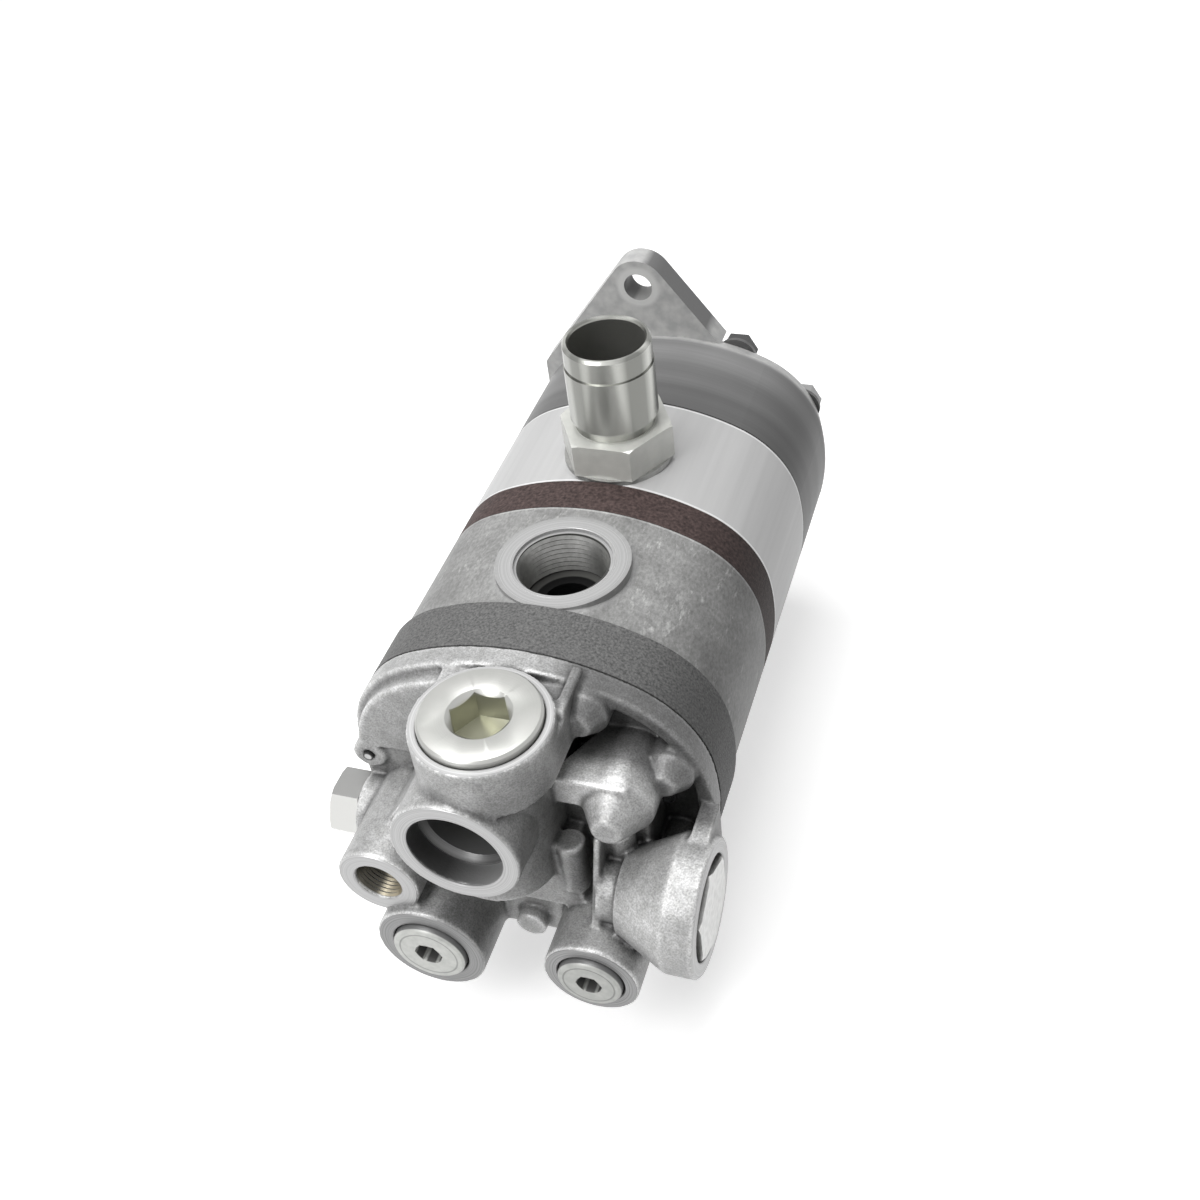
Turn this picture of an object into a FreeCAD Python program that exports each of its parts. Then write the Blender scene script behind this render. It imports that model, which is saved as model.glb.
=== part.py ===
import FreeCAD, Part
import math
import os
import re
import Sketcher

# Tandem gear pump: two gear sections on one shaft line, clamped between a two-bolt mounting
# flange and a cast rear valve cover. The row's origin is the centre of the mounting face on the
# drive shaft's axis. +Y runs out of the mounting face, along the shaft, and +Z points up, the
# way the hose tail and the inlet port stand. A depth is a distance behind the mounting face.

os.makedirs("parts", exist_ok=True)
doc = FreeCAD.newDocument("tandem_gear_pump")
Vector = FreeCAD.Vector

SIZES = {
    # Oval outline of the sections, as eight tangent arcs
    "body_half_width": 61.6,
    "body_half_height": 52.4,
    "top_curve_radius": 90,
    "side_curve_radius": 85,
    "corner_curve_radius": 40,
    "cast_margin": 1.7,
    # Lengths of the stack, from the mounting face back
    "flange_length": 57,
    "front_body_length": 51.2,
    "plate_length": 15.1,
    "rear_body_length": 52.2,
    "ring_length": 20.4,
    # Two-bolt flange
    "ear_spacing": 146,
    "ear_hole_radius": 5.7,
    "ear_radius": 11.5,
    "ear_thickness": 10.5,
    "ear_root_half_width": 69.8,
    "plate_left_reach": 44,
    "head_face_depth": 7,
    "shoulder_length": 6,
    "shoulder_taper": 18,
    "head_pocket_radius": 9,
    "pilot_radius": 30,
    "pilot_length": 6,
    # Shaft line and its seal
    "gear_distance": 28,
    "shaft_radius": 8,
    "bearing_clearance": 0.03,
    "nose_bore_radius": 10.5,
    "shaft_reach": 27,
    "spline_length": 18,
    "spline_groove_depth": 1.5,
    "spline_groove_width": 2.6,
    "spline_count": 9,
    "seal_outer_radius": 16,
    "seal_width": 7,
    "circlip_thickness": 1.2,
    "circlip_depth": 1.5,
    "bush_length": 14,
    "journal_gap": 0.5,
    "seal_lip": 2.5,
    "circlip_width": 2.4,
    "circlip_groove": 1.5,
    "circlip_gap": 6,
    "circlip_play": 0.1,
    # Gears
    "gear_teeth": 10,
    "tooth_module": 2.8,
    "pressure_angle": 25,
    "root_allowance": 1.2,
    "tooth_backlash": 0.16,
    "gear_bore_clearance": 0.08,
    "front_gear_width": 26,
    "rear_gear_width": 24,
    "gear_side_clearance": 0.04,
    "block_clearance": 0.04,
    "relief_pocket_width": 5,
    "relief_pocket_depth": 2,
    "relief_pocket_low": 4,
    "relief_pocket_high": 10,
    "sleeve_outer_radius": 10,
    "sleeve_length": 14,
    "sleeve_bore_radius": 6.5,
    "sleeve_clearance": 0.1,
    "sleeve_room": 0.5,
    # Section seals and dowels
    "seal_track_radius": 20.5,
    "seal_cord_width": 2,
    "seal_groove_depth": 1.9,
    "gallery_radius": 5,
    "gallery_drop": 34,
    "gallery_seal_radius": 7,
    "dowel_radius": 3,
    "dowel_half_length": 5,
    "dowel_reach": 46,
    "dowel_clearance": 0.02,
    # Through bolts
    "bolt_radius": 4,
    "bolt_clearance": 0.4,
    "bolt_upper_x": 24,
    "bolt_upper_z": 42,
    "bolt_side_x": 50,
    "bolt_side_z": 20.5,
    "bolt_head_flats": 13,
    "bolt_head_height": 5.2,
    "washer_radius": 8,
    "washer_thickness": 1.6,
    "bolt_engagement": 9.5,
    # Hose tail on the front body
    "tail_depth": 88,
    "tail_tube_radius": 16,
    "tail_bore_radius": 13.6,
    "tail_top": 100,
    "tail_lip_length": 8,
    "tail_lip_radius": 15.7,
    "tail_groove_width": 1.2,
    "tail_groove_radius": 15.4,
    "tail_neck_height": 3.2,
    "tail_neck_radius": 14.6,
    "tail_flats": 37,
    "tail_hex_height": 13,
    "tail_thread_length": 13,
    "tail_thread_radius": 15.1,
    "port_seat_drop": 1.6,
    "port_seat_radius": 21.5,
    "tail_seal_thickness": 2,
    "tail_seal_radius": 20,
    # Inlet port on the rear body
    "port_thread_radius": 15.9,
    "port_depth": 152,
    "port_rise": 0.5,
    "port_boss_radius": 23.3,
    "port_thread_length": 18,
    "port_rim_radius": 17.1,
    "port_rim_depth": 1.3,
    "feed_radius": 9,
    # Rear cover: rim and pocket
    "cover_floor": 3,
    "cover_rim": 8.5,
    "rim_width": 5.2,
    "left_block_height": 14,
    "left_block_inset": 3,
    "left_block_right": -8,
    "left_ridge_z": 9.8,
    "left_ridge_step": 2,
    "left_link_top": 30,
    "left_link_low": 20,
    "left_link_drop": 8,
    "left_link_rise": 4,
    "bolt_dome_radius": 8.6,
    "bolt_dome_height": 12,
    "bolt_dome_cap": 6,
    "bolt_dome_slope": 38,
    # Rear cover: top plug boss
    "top_boss_depth": 32,
    "top_boss_radius": 22.7,
    "top_boss_height": 55.5,
    "top_block_height": 50.5,
    "top_block_low": 36,
    "core_x": -2,
    "core_radius": 19.5,
    "core_low": -10,
    "top_seat_height": 53.4,
    "top_seat_radius": 20,
    "top_thread_length": 15,
    "top_rib_width": 3.2,
    "top_rib_height": 54,
    "top_rib_reach": 14,
    # Rear cover: open outlet bore
    "outlet_x": -5.5,
    "outlet_z": 19.5,
    "outlet_reach": 56.2,
    "outlet_boss_radius": 21.5,
    "outlet_bore_radius": 15.9,
    "outlet_bore_length": 30,
    "outlet_inner_radius": 10,
    "outlet_inner_length": 12,
    # Rear cover: small threaded port
    "small_port_x": -40.9,
    "small_port_z": -13.2,
    "small_port_reach": 51.2,
    "small_boss_radius": 14.4,
    "small_thread_radius": 8.3,
    "small_thread_length": 15,
    "small_feed_radius": 5.5,
    # Rear cover: relief valve boss and gallery boss
    "relief_x": -26.1,
    "relief_z": -41.7,
    "relief_boss_radius": 19.5,
    "gallery_x": 31.5,
    "gallery_z": -38.5,
    "gallery_boss_radius": 16.4,
    "lower_reach": 54.1,
    "lower_start": 6,
    "lower_seat_drop": 3.9,
    "relief_seat_radius": 14,
    "gallery_seat_radius": 12,
    "relief_bore_radius": 8,
    "relief_bore_length": 38.3,
    "relief_thread_length": 14,
    "relief_thread_radius": 11,
    # Rear cover: side boss with the priority valve
    "side_boss_depth": 33.1,
    "side_boss_z": -16,
    "side_boss_radius": 23,
    "side_boss_start": 57,
    "side_boss_reach": 67.5,
    "side_cone_length": 18,
    "side_cone_slope": 27,
    "side_pocket_radius": 17.6,
    "side_pocket_depth": 5,
    "side_thread_radius": 13,
    "side_thread_length": 12,
    "valve_bore_radius": 7,
    "valve_bore_length": 26.5,
    "tunnel_wall": 4,
    "side_web_left": 59.5,
    "side_web_right": 65.5,
    "side_web_top": 6,
    "side_web_bottom": -30,
    # Rear cover: hump, lumps, fin and lower web
    "hump_x": 37,
    "hump_z": 17.5,
    "hump_radius": 12.4,
    "hump_length": 25,
    "hump_tip_length": 12,
    "hump_tip_slope": 32,
    "hump_top_length": 28.5,
    "hump_top_step": 3,
    "hump_left": 8,
    "hump_right": 5,
    "hump_foot_reach": 8,
    "hump_foot_length": 21,
    "left_lump_x": 22,
    "left_lump_depth": 32,
    "right_lump_x": 36,
    "right_lump_depth": 24,
    "lump_radius": 5,
    "lump_top": 4,
    "lump_bottom": -18,
    "fin_x": 30.4,
    "fin_thickness": 2.4,
    "fin_top": 8,
    "fin_bottom": -26,
    "fin_top_length": 33,
    "fin_bottom_length": 46.5,
    "lower_web_left": -20,
    "lower_web_right": 26,
    "lower_web_top": -26,
    "lower_web_bottom": -49,
    "lower_web_length": 32,
    "middle_web_length": 36,
    "lower_lug_x": 4,
    "lower_lug_z": -42,
    "lower_lug_radius": 5.4,
    "lower_lug_length": 37,
    # Left hexagon plug and the rim pin
    "left_plug_depth": 18.2,
    "left_plug_z": -17.5,
    "left_pad_radius": 12.6,
    "left_pad_reach": 59.2,
    "left_plug_flats": 22,
    "left_plug_head": 10.5,
    "left_plug_radius": 6.9,
    "left_plug_length": 9,
    "left_spot_radius": 13.3,
    "left_spot_depth": 6,
    "rim_pin_x": -57,
    "rim_pin_z": 5,
    "rim_pin_radius": 1.8,
    "rim_pin_length": 5,
    "rim_pin_rise": 0.8,
    "rim_lug_radius": 6,
    # Plugs
    "top_plug_collar_radius": 19.5,
    "top_plug_collar_height": 3.8,
    "top_plug_socket_flats": 17,
    "top_plug_socket_depth": 11,
    "collar_edge": 0.8,
    "thread_runout": 2,
    "relief_plug_collar_radius": 13.4,
    "relief_plug_socket_flats": 9,
    "gallery_plug_collar_radius": 11.4,
    "gallery_plug_socket_flats": 8,
    "gallery_plug_shank_radius": 8.8,
    "small_collar_height": 2.4,
    "small_socket_depth": 6,
    "cap_flats": 29,
    "cap_head_height": 5,
    "hexagon_chamfer": 1.2,
    "cap_cup_radius": 7.4,
    "cap_cup_depth": 8,
    "seal_ring_thickness": 1,
    "seal_ring_inset": 0.4,
    "cap_seal_width": 1.8,
    "thread_fit": 0.05,
    # Priority valve and relief valve
    "valve_clearance": 0.04,
    "spool_length": 9,
    "spool_start": 1,
    "spool_land": 3,
    "spool_waist_radius": 4.5,
    "spring_coil_radius": 5.2,
    "spring_wire_radius": 0.9,
    "spring_turns": 6,
    "poppet_length": 10,
    "poppet_cone_length": 4,
    "poppet_tip_radius": 3,
}

sheet = doc.addObject("Spreadsheet::Sheet", "Sizes")
for row, (alias, number) in enumerate(SIZES.items(), start=1):
    sheet.set(f"A{row}", alias)
    sheet.set(f"B{row}", str(number))
    sheet.setAlias(f"B{row}", alias)
doc.recompute()


# Expressions: a size is written with the sheet's words, and read or bound through these

def bound(text):
    """The expression with each sheet word given its sheet."""
    return re.sub(r"[a-z_]+", lambda word: "Sizes." + word[0] if word[0] in SIZES else word[0], text)


def size(text):
    """The expression's value now."""
    return float(sheet.evalExpression(bound(text)))


def bind(item, name, text):
    item.setExpression(name, bound(text))


CENTRE_X = "gear_distance / 2"
FLANGE_END = "flange_length"
FRONT_END = "(flange_length + front_body_length)"
PLATE_END = "(flange_length + front_body_length + plate_length)"
REAR_END = "(flange_length + front_body_length + plate_length + rear_body_length)"
RING_END = "(flange_length + front_body_length + plate_length + rear_body_length + ring_length)"
DRIVE_X = "-gear_distance / 2"
DRIVEN_X = "gear_distance / 2"
VALVE_BORE_END = "(side_boss_reach - side_pocket_depth - valve_bore_length)"
TIP_RADIUS = "(tooth_module * (gear_teeth / 2 + 1))"
GEAR_BORE = "(tooth_module * (gear_teeth / 2 + 1) + gear_bore_clearance)"

FACING = {
    "+Z": FreeCAD.Rotation(),
    "-Z": FreeCAD.Rotation(Vector(1, 0, 0), 180),
    "+X": FreeCAD.Rotation(Vector(0, 1, 0), 90),
    "-X": FreeCAD.Rotation(Vector(0, 1, 0), -90),
    "-Y": FreeCAD.Rotation(Vector(1, 0, 0), 90),
    "+Y": FreeCAD.Rotation(Vector(1, 0, 0), -90),
}


def place(item, x, y, z, facing="+Z"):
    """Puts an item so that its own Z axis faces the given way."""
    item.Placement = FreeCAD.Placement(Vector(size(x), size(y), size(z)), FACING[facing])
    for axis, text in zip("xyz", (x, y, z)):
        bind(item, "Placement.Base." + axis, text)


# Sketches and features

PLANES = {"XY": ("XY_Plane", 1), "XZ": ("XZ_Plane", -1), "YZ": ("YZ_Plane", 1)}
bodies = []


def new_body(name, x, y, z, facing):
    body = doc.addObject("PartDesign::Body", name)
    body.Label = name
    place(body, x, y, z, facing)
    bodies.append(body)
    return body


def section_body(name, start):
    """A body of the stack: its own X is across, its Y up and its Z back from the start depth."""
    return new_body(name, CENTRE_X, f"-({start})", "0", "-Y")


def new_sketch(body, name, plane, start):
    sketch = body.newObject("Sketcher::SketchObject", f"{body.Name}_{name}")
    role, way = PLANES[plane]
    base = [item for item in body.Origin.OriginFeatures if item.Role == role][0]
    sketch.AttachmentSupport = [(base, "")]
    sketch.MapMode = "FlatFace"
    sketch.AttachmentOffset = FreeCAD.Placement(Vector(0, 0, way * size(start)), FreeCAD.Rotation())
    bind(sketch, "AttachmentOffset.Base.z", start if way > 0 else f"-({start})")
    return sketch


def fix_point(sketch, geometry, vertex, x, y):
    """Holds a vertex at two expressions, measured from the sketch's origin."""
    for letter, text, axis in (("X", x, -2), ("Y", y, -1)):
        if text == "0":
            sketch.addConstraint(Sketcher.Constraint("PointOnObject", geometry, vertex, axis))
            continue
        rule = Sketcher.Constraint("Distance" + letter, -1, 1, geometry, vertex, size(text))
        index = sketch.addConstraint(rule)
        bind(sketch, f"Constraints[{index}]", text)


def fix_radius(sketch, geometry, text):
    index = sketch.addConstraint(Sketcher.Constraint("Radius", geometry, size(text)))
    bind(sketch, f"Constraints[{index}]", text)


def circle(x, y, radius):
    def draw(sketch):
        middle = Vector(size(x), size(y), 0)
        index = sketch.addGeometry(Part.Circle(middle, Vector(0, 0, 1), size(radius)), False)
        fix_point(sketch, index, 3, x, y)
        fix_radius(sketch, index, radius)
    return draw


def outline(points):
    """A closed outline of straight lines through the points."""
    def draw(sketch):
        corners = [Vector(size(x), size(y), 0) for x, y in points]
        lines = []
        for here, there in zip(corners, corners[1:] + corners[:1]):
            lines.append(sketch.addGeometry(Part.LineSegment(here, there), False))
        for line, after, point in zip(lines, lines[1:] + lines[:1], points[1:] + points[:1]):
            sketch.addConstraint(Sketcher.Constraint("Coincident", line, 2, after, 1))
            fix_point(sketch, after, 1, *point)
    return draw


def box(left, low, right, high):
    return outline([(left, low), (right, low), (right, high), (left, high)])


def hexagon(flats, across_x=True, x="0", y="0"):
    """A hexagon with two corners on its own X axis, or turned a twelfth of a turn."""
    start = 0 if across_x else 30
    points = []
    for corner in range(6):
        angle = math.radians(start + 60 * corner)
        reach_x = math.cos(angle) / math.sqrt(3)
        reach_y = math.sin(angle) / math.sqrt(3)
        points.append((f"{x} + {flats} * {reach_x:.6f}", f"{y} + {flats} * {reach_y:.6f}"))
    return outline(points)


def joined_arcs(sketch, arcs):
    """Adds arcs of (centre, radius, start, end) in order, each tangent to the next."""
    indices = []
    for middle, radius, start, end in arcs:
        whole = Part.Circle(Vector(*middle, 0), Vector(0, 0, 1), radius)
        indices.append(sketch.addGeometry(Part.ArcOfCircle(whole, start, end), False))
    for arc, after in zip(indices, indices[1:] + indices[:1]):
        sketch.addConstraint(Sketcher.Constraint("Tangent", arc, 2, after, 1))
    return indices


def oval(grow="0"):
    """The pump's oval outline, grown all round: flat arcs at the top and sides, and four corners."""
    def draw(sketch):
        half_width = size(f"body_half_width + {grow}")
        half_height = size(f"body_half_height + {grow}")
        top = size(f"top_curve_radius + {grow}")
        side = size(f"side_curve_radius + {grow}")
        corner = size(f"corner_curve_radius + {grow}")
        top_y = half_height - top
        side_x = half_width - side
        far = top - corner
        near = side - corner
        apart = math.hypot(side_x, top_y)
        along = (near ** 2 - far ** 2 + apart ** 2) / (2 * apart)
        across = math.sqrt(near ** 2 - along ** 2)
        unit_x, unit_y = -side_x / apart, top_y / apart
        corner_x = side_x + along * unit_x - across * unit_y
        corner_y = along * unit_y + across * unit_x
        low = math.atan2(corner_y, corner_x - side_x)
        high = math.atan2(corner_y - top_y, corner_x)
        half = math.pi
        arcs = [
            ((side_x, 0), side, -low, low),
            ((corner_x, corner_y), corner, low, high),
            ((0, top_y), top, high, half - high),
            ((-corner_x, corner_y), corner, half - high, half - low),
            ((-side_x, 0), side, half - low, half + low),
            ((-corner_x, -corner_y), corner, half + low, half + high),
            ((0, -top_y), top, half + high, 2 * half - high),
            ((corner_x, -corner_y), corner, 2 * half - high, 2 * half - low),
        ]
        indices = joined_arcs(sketch, arcs)
        across_text = "body_half_width - side_curve_radius"
        up_text = "body_half_height - top_curve_radius"
        fix_point(sketch, indices[0], 3, across_text, "0")
        fix_point(sketch, indices[4], 3, f"-({across_text})", "0")
        fix_point(sketch, indices[2], 3, "0", up_text)
        fix_point(sketch, indices[6], 3, "0", f"-({up_text})")
        for first, radius in ((0, "side_curve_radius"), (2, "top_curve_radius")):
            fix_radius(sketch, indices[first], f"{radius} + {grow}")
            sketch.addConstraint(Sketcher.Constraint("Equal", indices[first], indices[first + 4]))
        fix_radius(sketch, indices[1], f"corner_curve_radius + {grow}")
        for other in (3, 5, 7):
            sketch.addConstraint(Sketcher.Constraint("Equal", indices[1], indices[other]))
    return draw


def obround(radius):
    """A rounded outline at one distance around both shaft axes."""
    def draw(sketch):
        reach = size(DRIVEN_X)
        round_radius = size(radius)
        quarter = math.pi / 2
        indices = []
        for sign, start in ((1, -quarter), (-1, quarter)):
            whole = Part.Circle(Vector(sign * reach, 0, 0), Vector(0, 0, 1), round_radius)
            arc = Part.ArcOfCircle(whole, start, start + math.pi)
            indices.append(sketch.addGeometry(arc, False))
            begin = Vector(sign * reach, sign * round_radius, 0)
            end = Vector(-sign * reach, sign * round_radius, 0)
            indices.append(sketch.addGeometry(Part.LineSegment(begin, end), False))
        for item, after in zip(indices, indices[1:] + indices[:1]):
            sketch.addConstraint(Sketcher.Constraint("Tangent", item, 2, after, 1))
        fix_point(sketch, indices[0], 3, DRIVEN_X, "0")
        fix_point(sketch, indices[2], 3, DRIVE_X, "0")
        fix_radius(sketch, indices[0], radius)
    return draw


def ear_plate():
    """The two-bolt plate: an ear above and below the drive shaft, joined by straight flanks."""
    def draw(sketch):
        x = size(DRIVE_X)
        ear_y = size("ear_spacing / 2")
        radius = size("ear_radius")
        reach = size("ear_root_half_width")
        apart = math.hypot(reach, ear_y)
        turn = math.atan2(ear_y, reach) + math.asin(radius / apart)
        slope = math.pi / 2 - turn
        right = Vector(x + reach, 0, 0)
        left = Vector(x - reach, 0, 0)
        touch_x = radius * math.cos(slope)
        touch_y = ear_y + radius * math.sin(slope)
        half = math.pi
        upper = Part.Circle(Vector(x, ear_y, 0), Vector(0, 0, 1), radius)
        lower = Part.Circle(Vector(x, -ear_y, 0), Vector(0, 0, 1), radius)
        top = Part.ArcOfCircle(upper, slope, half - slope)
        low = Part.ArcOfCircle(lower, half + slope, 2 * half - slope)
        items = [
            Part.LineSegment(right, Vector(x + touch_x, touch_y, 0)),
            top,
            Part.LineSegment(Vector(x - touch_x, touch_y, 0), left),
            Part.LineSegment(left, Vector(x - touch_x, -touch_y, 0)),
            low,
            Part.LineSegment(Vector(x + touch_x, -touch_y, 0), right),
        ]
        indices = [sketch.addGeometry(item, False) for item in items]
        for here, there, rule in ((0, 1, "Tangent"), (1, 2, "Tangent"), (2, 3, "Coincident"),
                                  (3, 4, "Tangent"), (4, 5, "Tangent"), (5, 0, "Coincident")):
            sketch.addConstraint(Sketcher.Constraint(rule, indices[here], 2, indices[there], 1))
        fix_point(sketch, indices[0], 1, f"{DRIVE_X} + ear_root_half_width", "0")
        fix_point(sketch, indices[3], 1, f"{DRIVE_X} - ear_root_half_width", "0")
        fix_point(sketch, indices[1], 3, DRIVE_X, "ear_spacing / 2")
        fix_point(sketch, indices[4], 3, DRIVE_X, "-ear_spacing / 2")
        fix_radius(sketch, indices[1], "ear_radius")
        fix_radius(sketch, indices[4], "ear_radius")
    return draw


def shape_feature(kind, body, name, drawings, start, length, plane, taper="0"):
    sketch = new_sketch(body, name + "_sketch", plane, start)
    for draw in drawings:
        draw(sketch)
    feature = body.newObject(kind, f"{body.Name}_{name}")
    feature.Profile = sketch
    bind(feature, "Length", length)
    towards_plus = kind == "PartDesign::Pad"
    feature.Reversed = (PLANES[plane][1] > 0) != towards_plus
    if taper != "0":
        bind(feature, "TaperAngle", taper)
    return feature


def add(body, name, drawings, start, length, plane="XY", taper="0"):
    """Adds the drawn outlines from the start, along the plane's positive axis."""
    return shape_feature("PartDesign::Pad", body, name, drawings, start, length, plane, taper)


def cut(body, name, drawings, start, length, plane="XY"):
    """Cuts the drawn outlines from the start, along the plane's positive axis."""
    return shape_feature("PartDesign::Pocket", body, name, drawings, start, length, plane)


def turn(body, name, profile, kind="PartDesign::Revolution"):
    """Turns an outline of (radius, height) points about the body's own Z axis."""
    sketch = new_sketch(body, name + "_sketch", "XZ", "0")
    outline(profile)(sketch)
    feature = body.newObject(kind, f"{body.Name}_{name}")
    feature.Profile = sketch
    feature.ReferenceAxis = (sketch, ["V_Axis"])
    feature.Angle = 360
    return feature


BOLT_PLACES = []
for side in ("", "-"):
    for level in ("", "-"):
        BOLT_PLACES.append((side + "bolt_upper_x", level + "bolt_upper_z"))
        BOLT_PLACES.append((side + "bolt_side_x", level + "bolt_side_z"))
DOWEL_PLACES = [("dowel_reach", "0"), ("-dowel_reach", "0")]


def drill_stack(body, length, front=True, rear=True):
    """The holes that run through a section: bolts, dowels, the gallery and the seal's groove."""
    holes = [circle(x, y, "bolt_radius + bolt_clearance") for x, y in BOLT_PLACES]
    cut(body, "bolt_holes", holes, "0", length)
    pins = [circle(x, y, "dowel_radius + dowel_clearance") for x, y in DOWEL_PLACES]
    if front:
        cut(body, "front_dowel_holes", pins, "0", "dowel_half_length")
    if rear:
        cut(body, "rear_dowel_holes", pins, f"{length} - dowel_half_length", "dowel_half_length")
        groove = f"{length} - seal_groove_depth"
        track = [obround("seal_track_radius - seal_cord_width / 2"),
                 obround("seal_track_radius + seal_cord_width / 2")]
        cut(body, "seal_groove", track, groove, "seal_groove_depth")
        cut(body, "gallery_seal_seat", [circle("0", "-gallery_drop", "gallery_seal_radius")],
            groove, "seal_groove_depth")


def drill_gear_chamber(body, length):
    for name, x in (("drive_chamber", DRIVE_X), ("driven_chamber", DRIVEN_X)):
        cut(body, name, [circle(x, "0", GEAR_BORE)], "0", length)


# Mounting flange: plate with two ears, tapered shoulder, turned barrel and pilot

def make_mounting_flange():
    flange = section_body("mounting_flange", "0")
    add(flange, "ear_plate", [ear_plate()], "0", "ear_thickness")
    trim = box(f"{DRIVE_X} - ear_root_half_width", "-ear_spacing / 4",
               f"{DRIVE_X} - plate_left_reach", "ear_spacing / 4")
    cut(flange, "left_trim", [trim], "0", "ear_thickness")
    barrel_start = "head_face_depth + shoulder_length"
    add(flange, "barrel", [oval()], barrel_start, f"flange_length - ({barrel_start})")
    shoulder = add(flange, "shoulder", [oval()], barrel_start, "shoulder_length", taper="-shoulder_taper")
    shoulder.Reversed = True
    add(flange, "pilot", [circle(DRIVE_X, "0", "pilot_radius")], "-pilot_length", "pilot_length")
    pockets = [circle(x, y, "head_pocket_radius") for x, y in BOLT_PLACES]
    cut(flange, "head_pockets", pockets, "0", "head_face_depth")
    ears = [circle(DRIVE_X, level + "ear_spacing / 2", "ear_hole_radius") for level in ("", "-")]
    cut(flange, "ear_holes", ears, "0", "ear_thickness")
    cut(flange, "nose_bore", [circle(DRIVE_X, "0", "nose_bore_radius")], "-pilot_length",
        "pilot_length + flange_length")
    seal_end = "circlip_depth + circlip_thickness + seal_width"
    cut(flange, "seal_seat", [circle(DRIVE_X, "0", "seal_outer_radius")], "-pilot_length", seal_end)
    cut(flange, "circlip_groove", [circle(DRIVE_X, "0", "seal_outer_radius + circlip_groove")],
        "circlip_depth - pilot_length", "circlip_thickness")
    drill_stack(flange, "flange_length", front=False)
    return flange


# Gear sections

def make_front_body():
    front = section_body("front_pump_body", FLANGE_END)
    add(front, "oval", [oval()], "0", "front_body_length")
    drill_gear_chamber(front, "front_body_length")
    tail = "tail_depth - flange_length"
    seat = "body_half_height - port_seat_drop"
    cut(front, "tail_seat", [circle("0", tail, "port_seat_radius")], seat, "port_seat_drop + 1", "XZ")
    cut(front, "tail_thread", [circle("0", tail, "tail_thread_radius")],
        f"{seat} - port_thread_length", "port_thread_length", "XZ")
    cut(front, "tail_feed", [circle("0", tail, "feed_radius")], "0", seat, "XZ")
    cut(front, "outlet_drop", [circle("0", "front_body_length / 2", "gallery_radius")],
        "-gallery_drop", "gallery_drop", "XZ")
    cut(front, "gallery", [circle("0", "-gallery_drop", "gallery_radius")],
        "front_body_length / 2", "front_body_length / 2")
    drill_stack(front, "front_body_length")
    return front


def make_plate():
    plate = section_body("intermediate_plate", FRONT_END)
    add(plate, "oval", [oval()], "0", "plate_length")
    cut(plate, "coupling_bore", [circle(DRIVE_X, "0", "sleeve_outer_radius + sleeve_room")],
        "0", "plate_length")
    cut(plate, "gallery", [circle("0", "-gallery_drop", "gallery_radius")], "0", "plate_length")
    drill_stack(plate, "plate_length")
    return plate


def make_rear_body():
    rear = section_body("rear_pump_body", PLATE_END)
    add(rear, "oval", [oval()], "0", "rear_body_length")
    port = f"port_depth - {PLATE_END}"
    face = "body_half_height + port_rise"
    add(rear, "port_boss", [circle("0", port, "port_boss_radius")], "body_half_height / 2",
        "body_half_height / 2 + port_rise", "XZ")
    drill_gear_chamber(rear, "rear_body_length")
    cut(rear, "port_rim", [circle("0", port, "port_rim_radius")], f"{face} - port_rim_depth",
        "port_rim_depth", "XZ")
    cut(rear, "port_thread", [circle("0", port, "port_thread_radius")],
        f"{face} - port_thread_length", "port_thread_length", "XZ")
    cut(rear, "port_feed", [circle("0", port, "feed_radius")], "0", face, "XZ")
    cut(rear, "outlet_drop", [circle("0", "rear_body_length / 2", "gallery_radius")],
        "-gallery_drop", "gallery_drop", "XZ")
    cut(rear, "gallery", [circle("0", "-gallery_drop", "gallery_radius")], "0", "rear_body_length")
    drill_stack(rear, "rear_body_length")
    return rear


def make_ring():
    ring = section_body("adapter_ring", REAR_END)
    add(ring, "oval", [oval("cast_margin")], "0", "ring_length")
    cut(ring, "gallery", [circle("0", "-gallery_drop", "gallery_radius")], "0", "ring_length")
    drill_stack(ring, "ring_length")
    return ring


# Rear valve cover, one casting: rim, bosses and webs, then its bores

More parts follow.
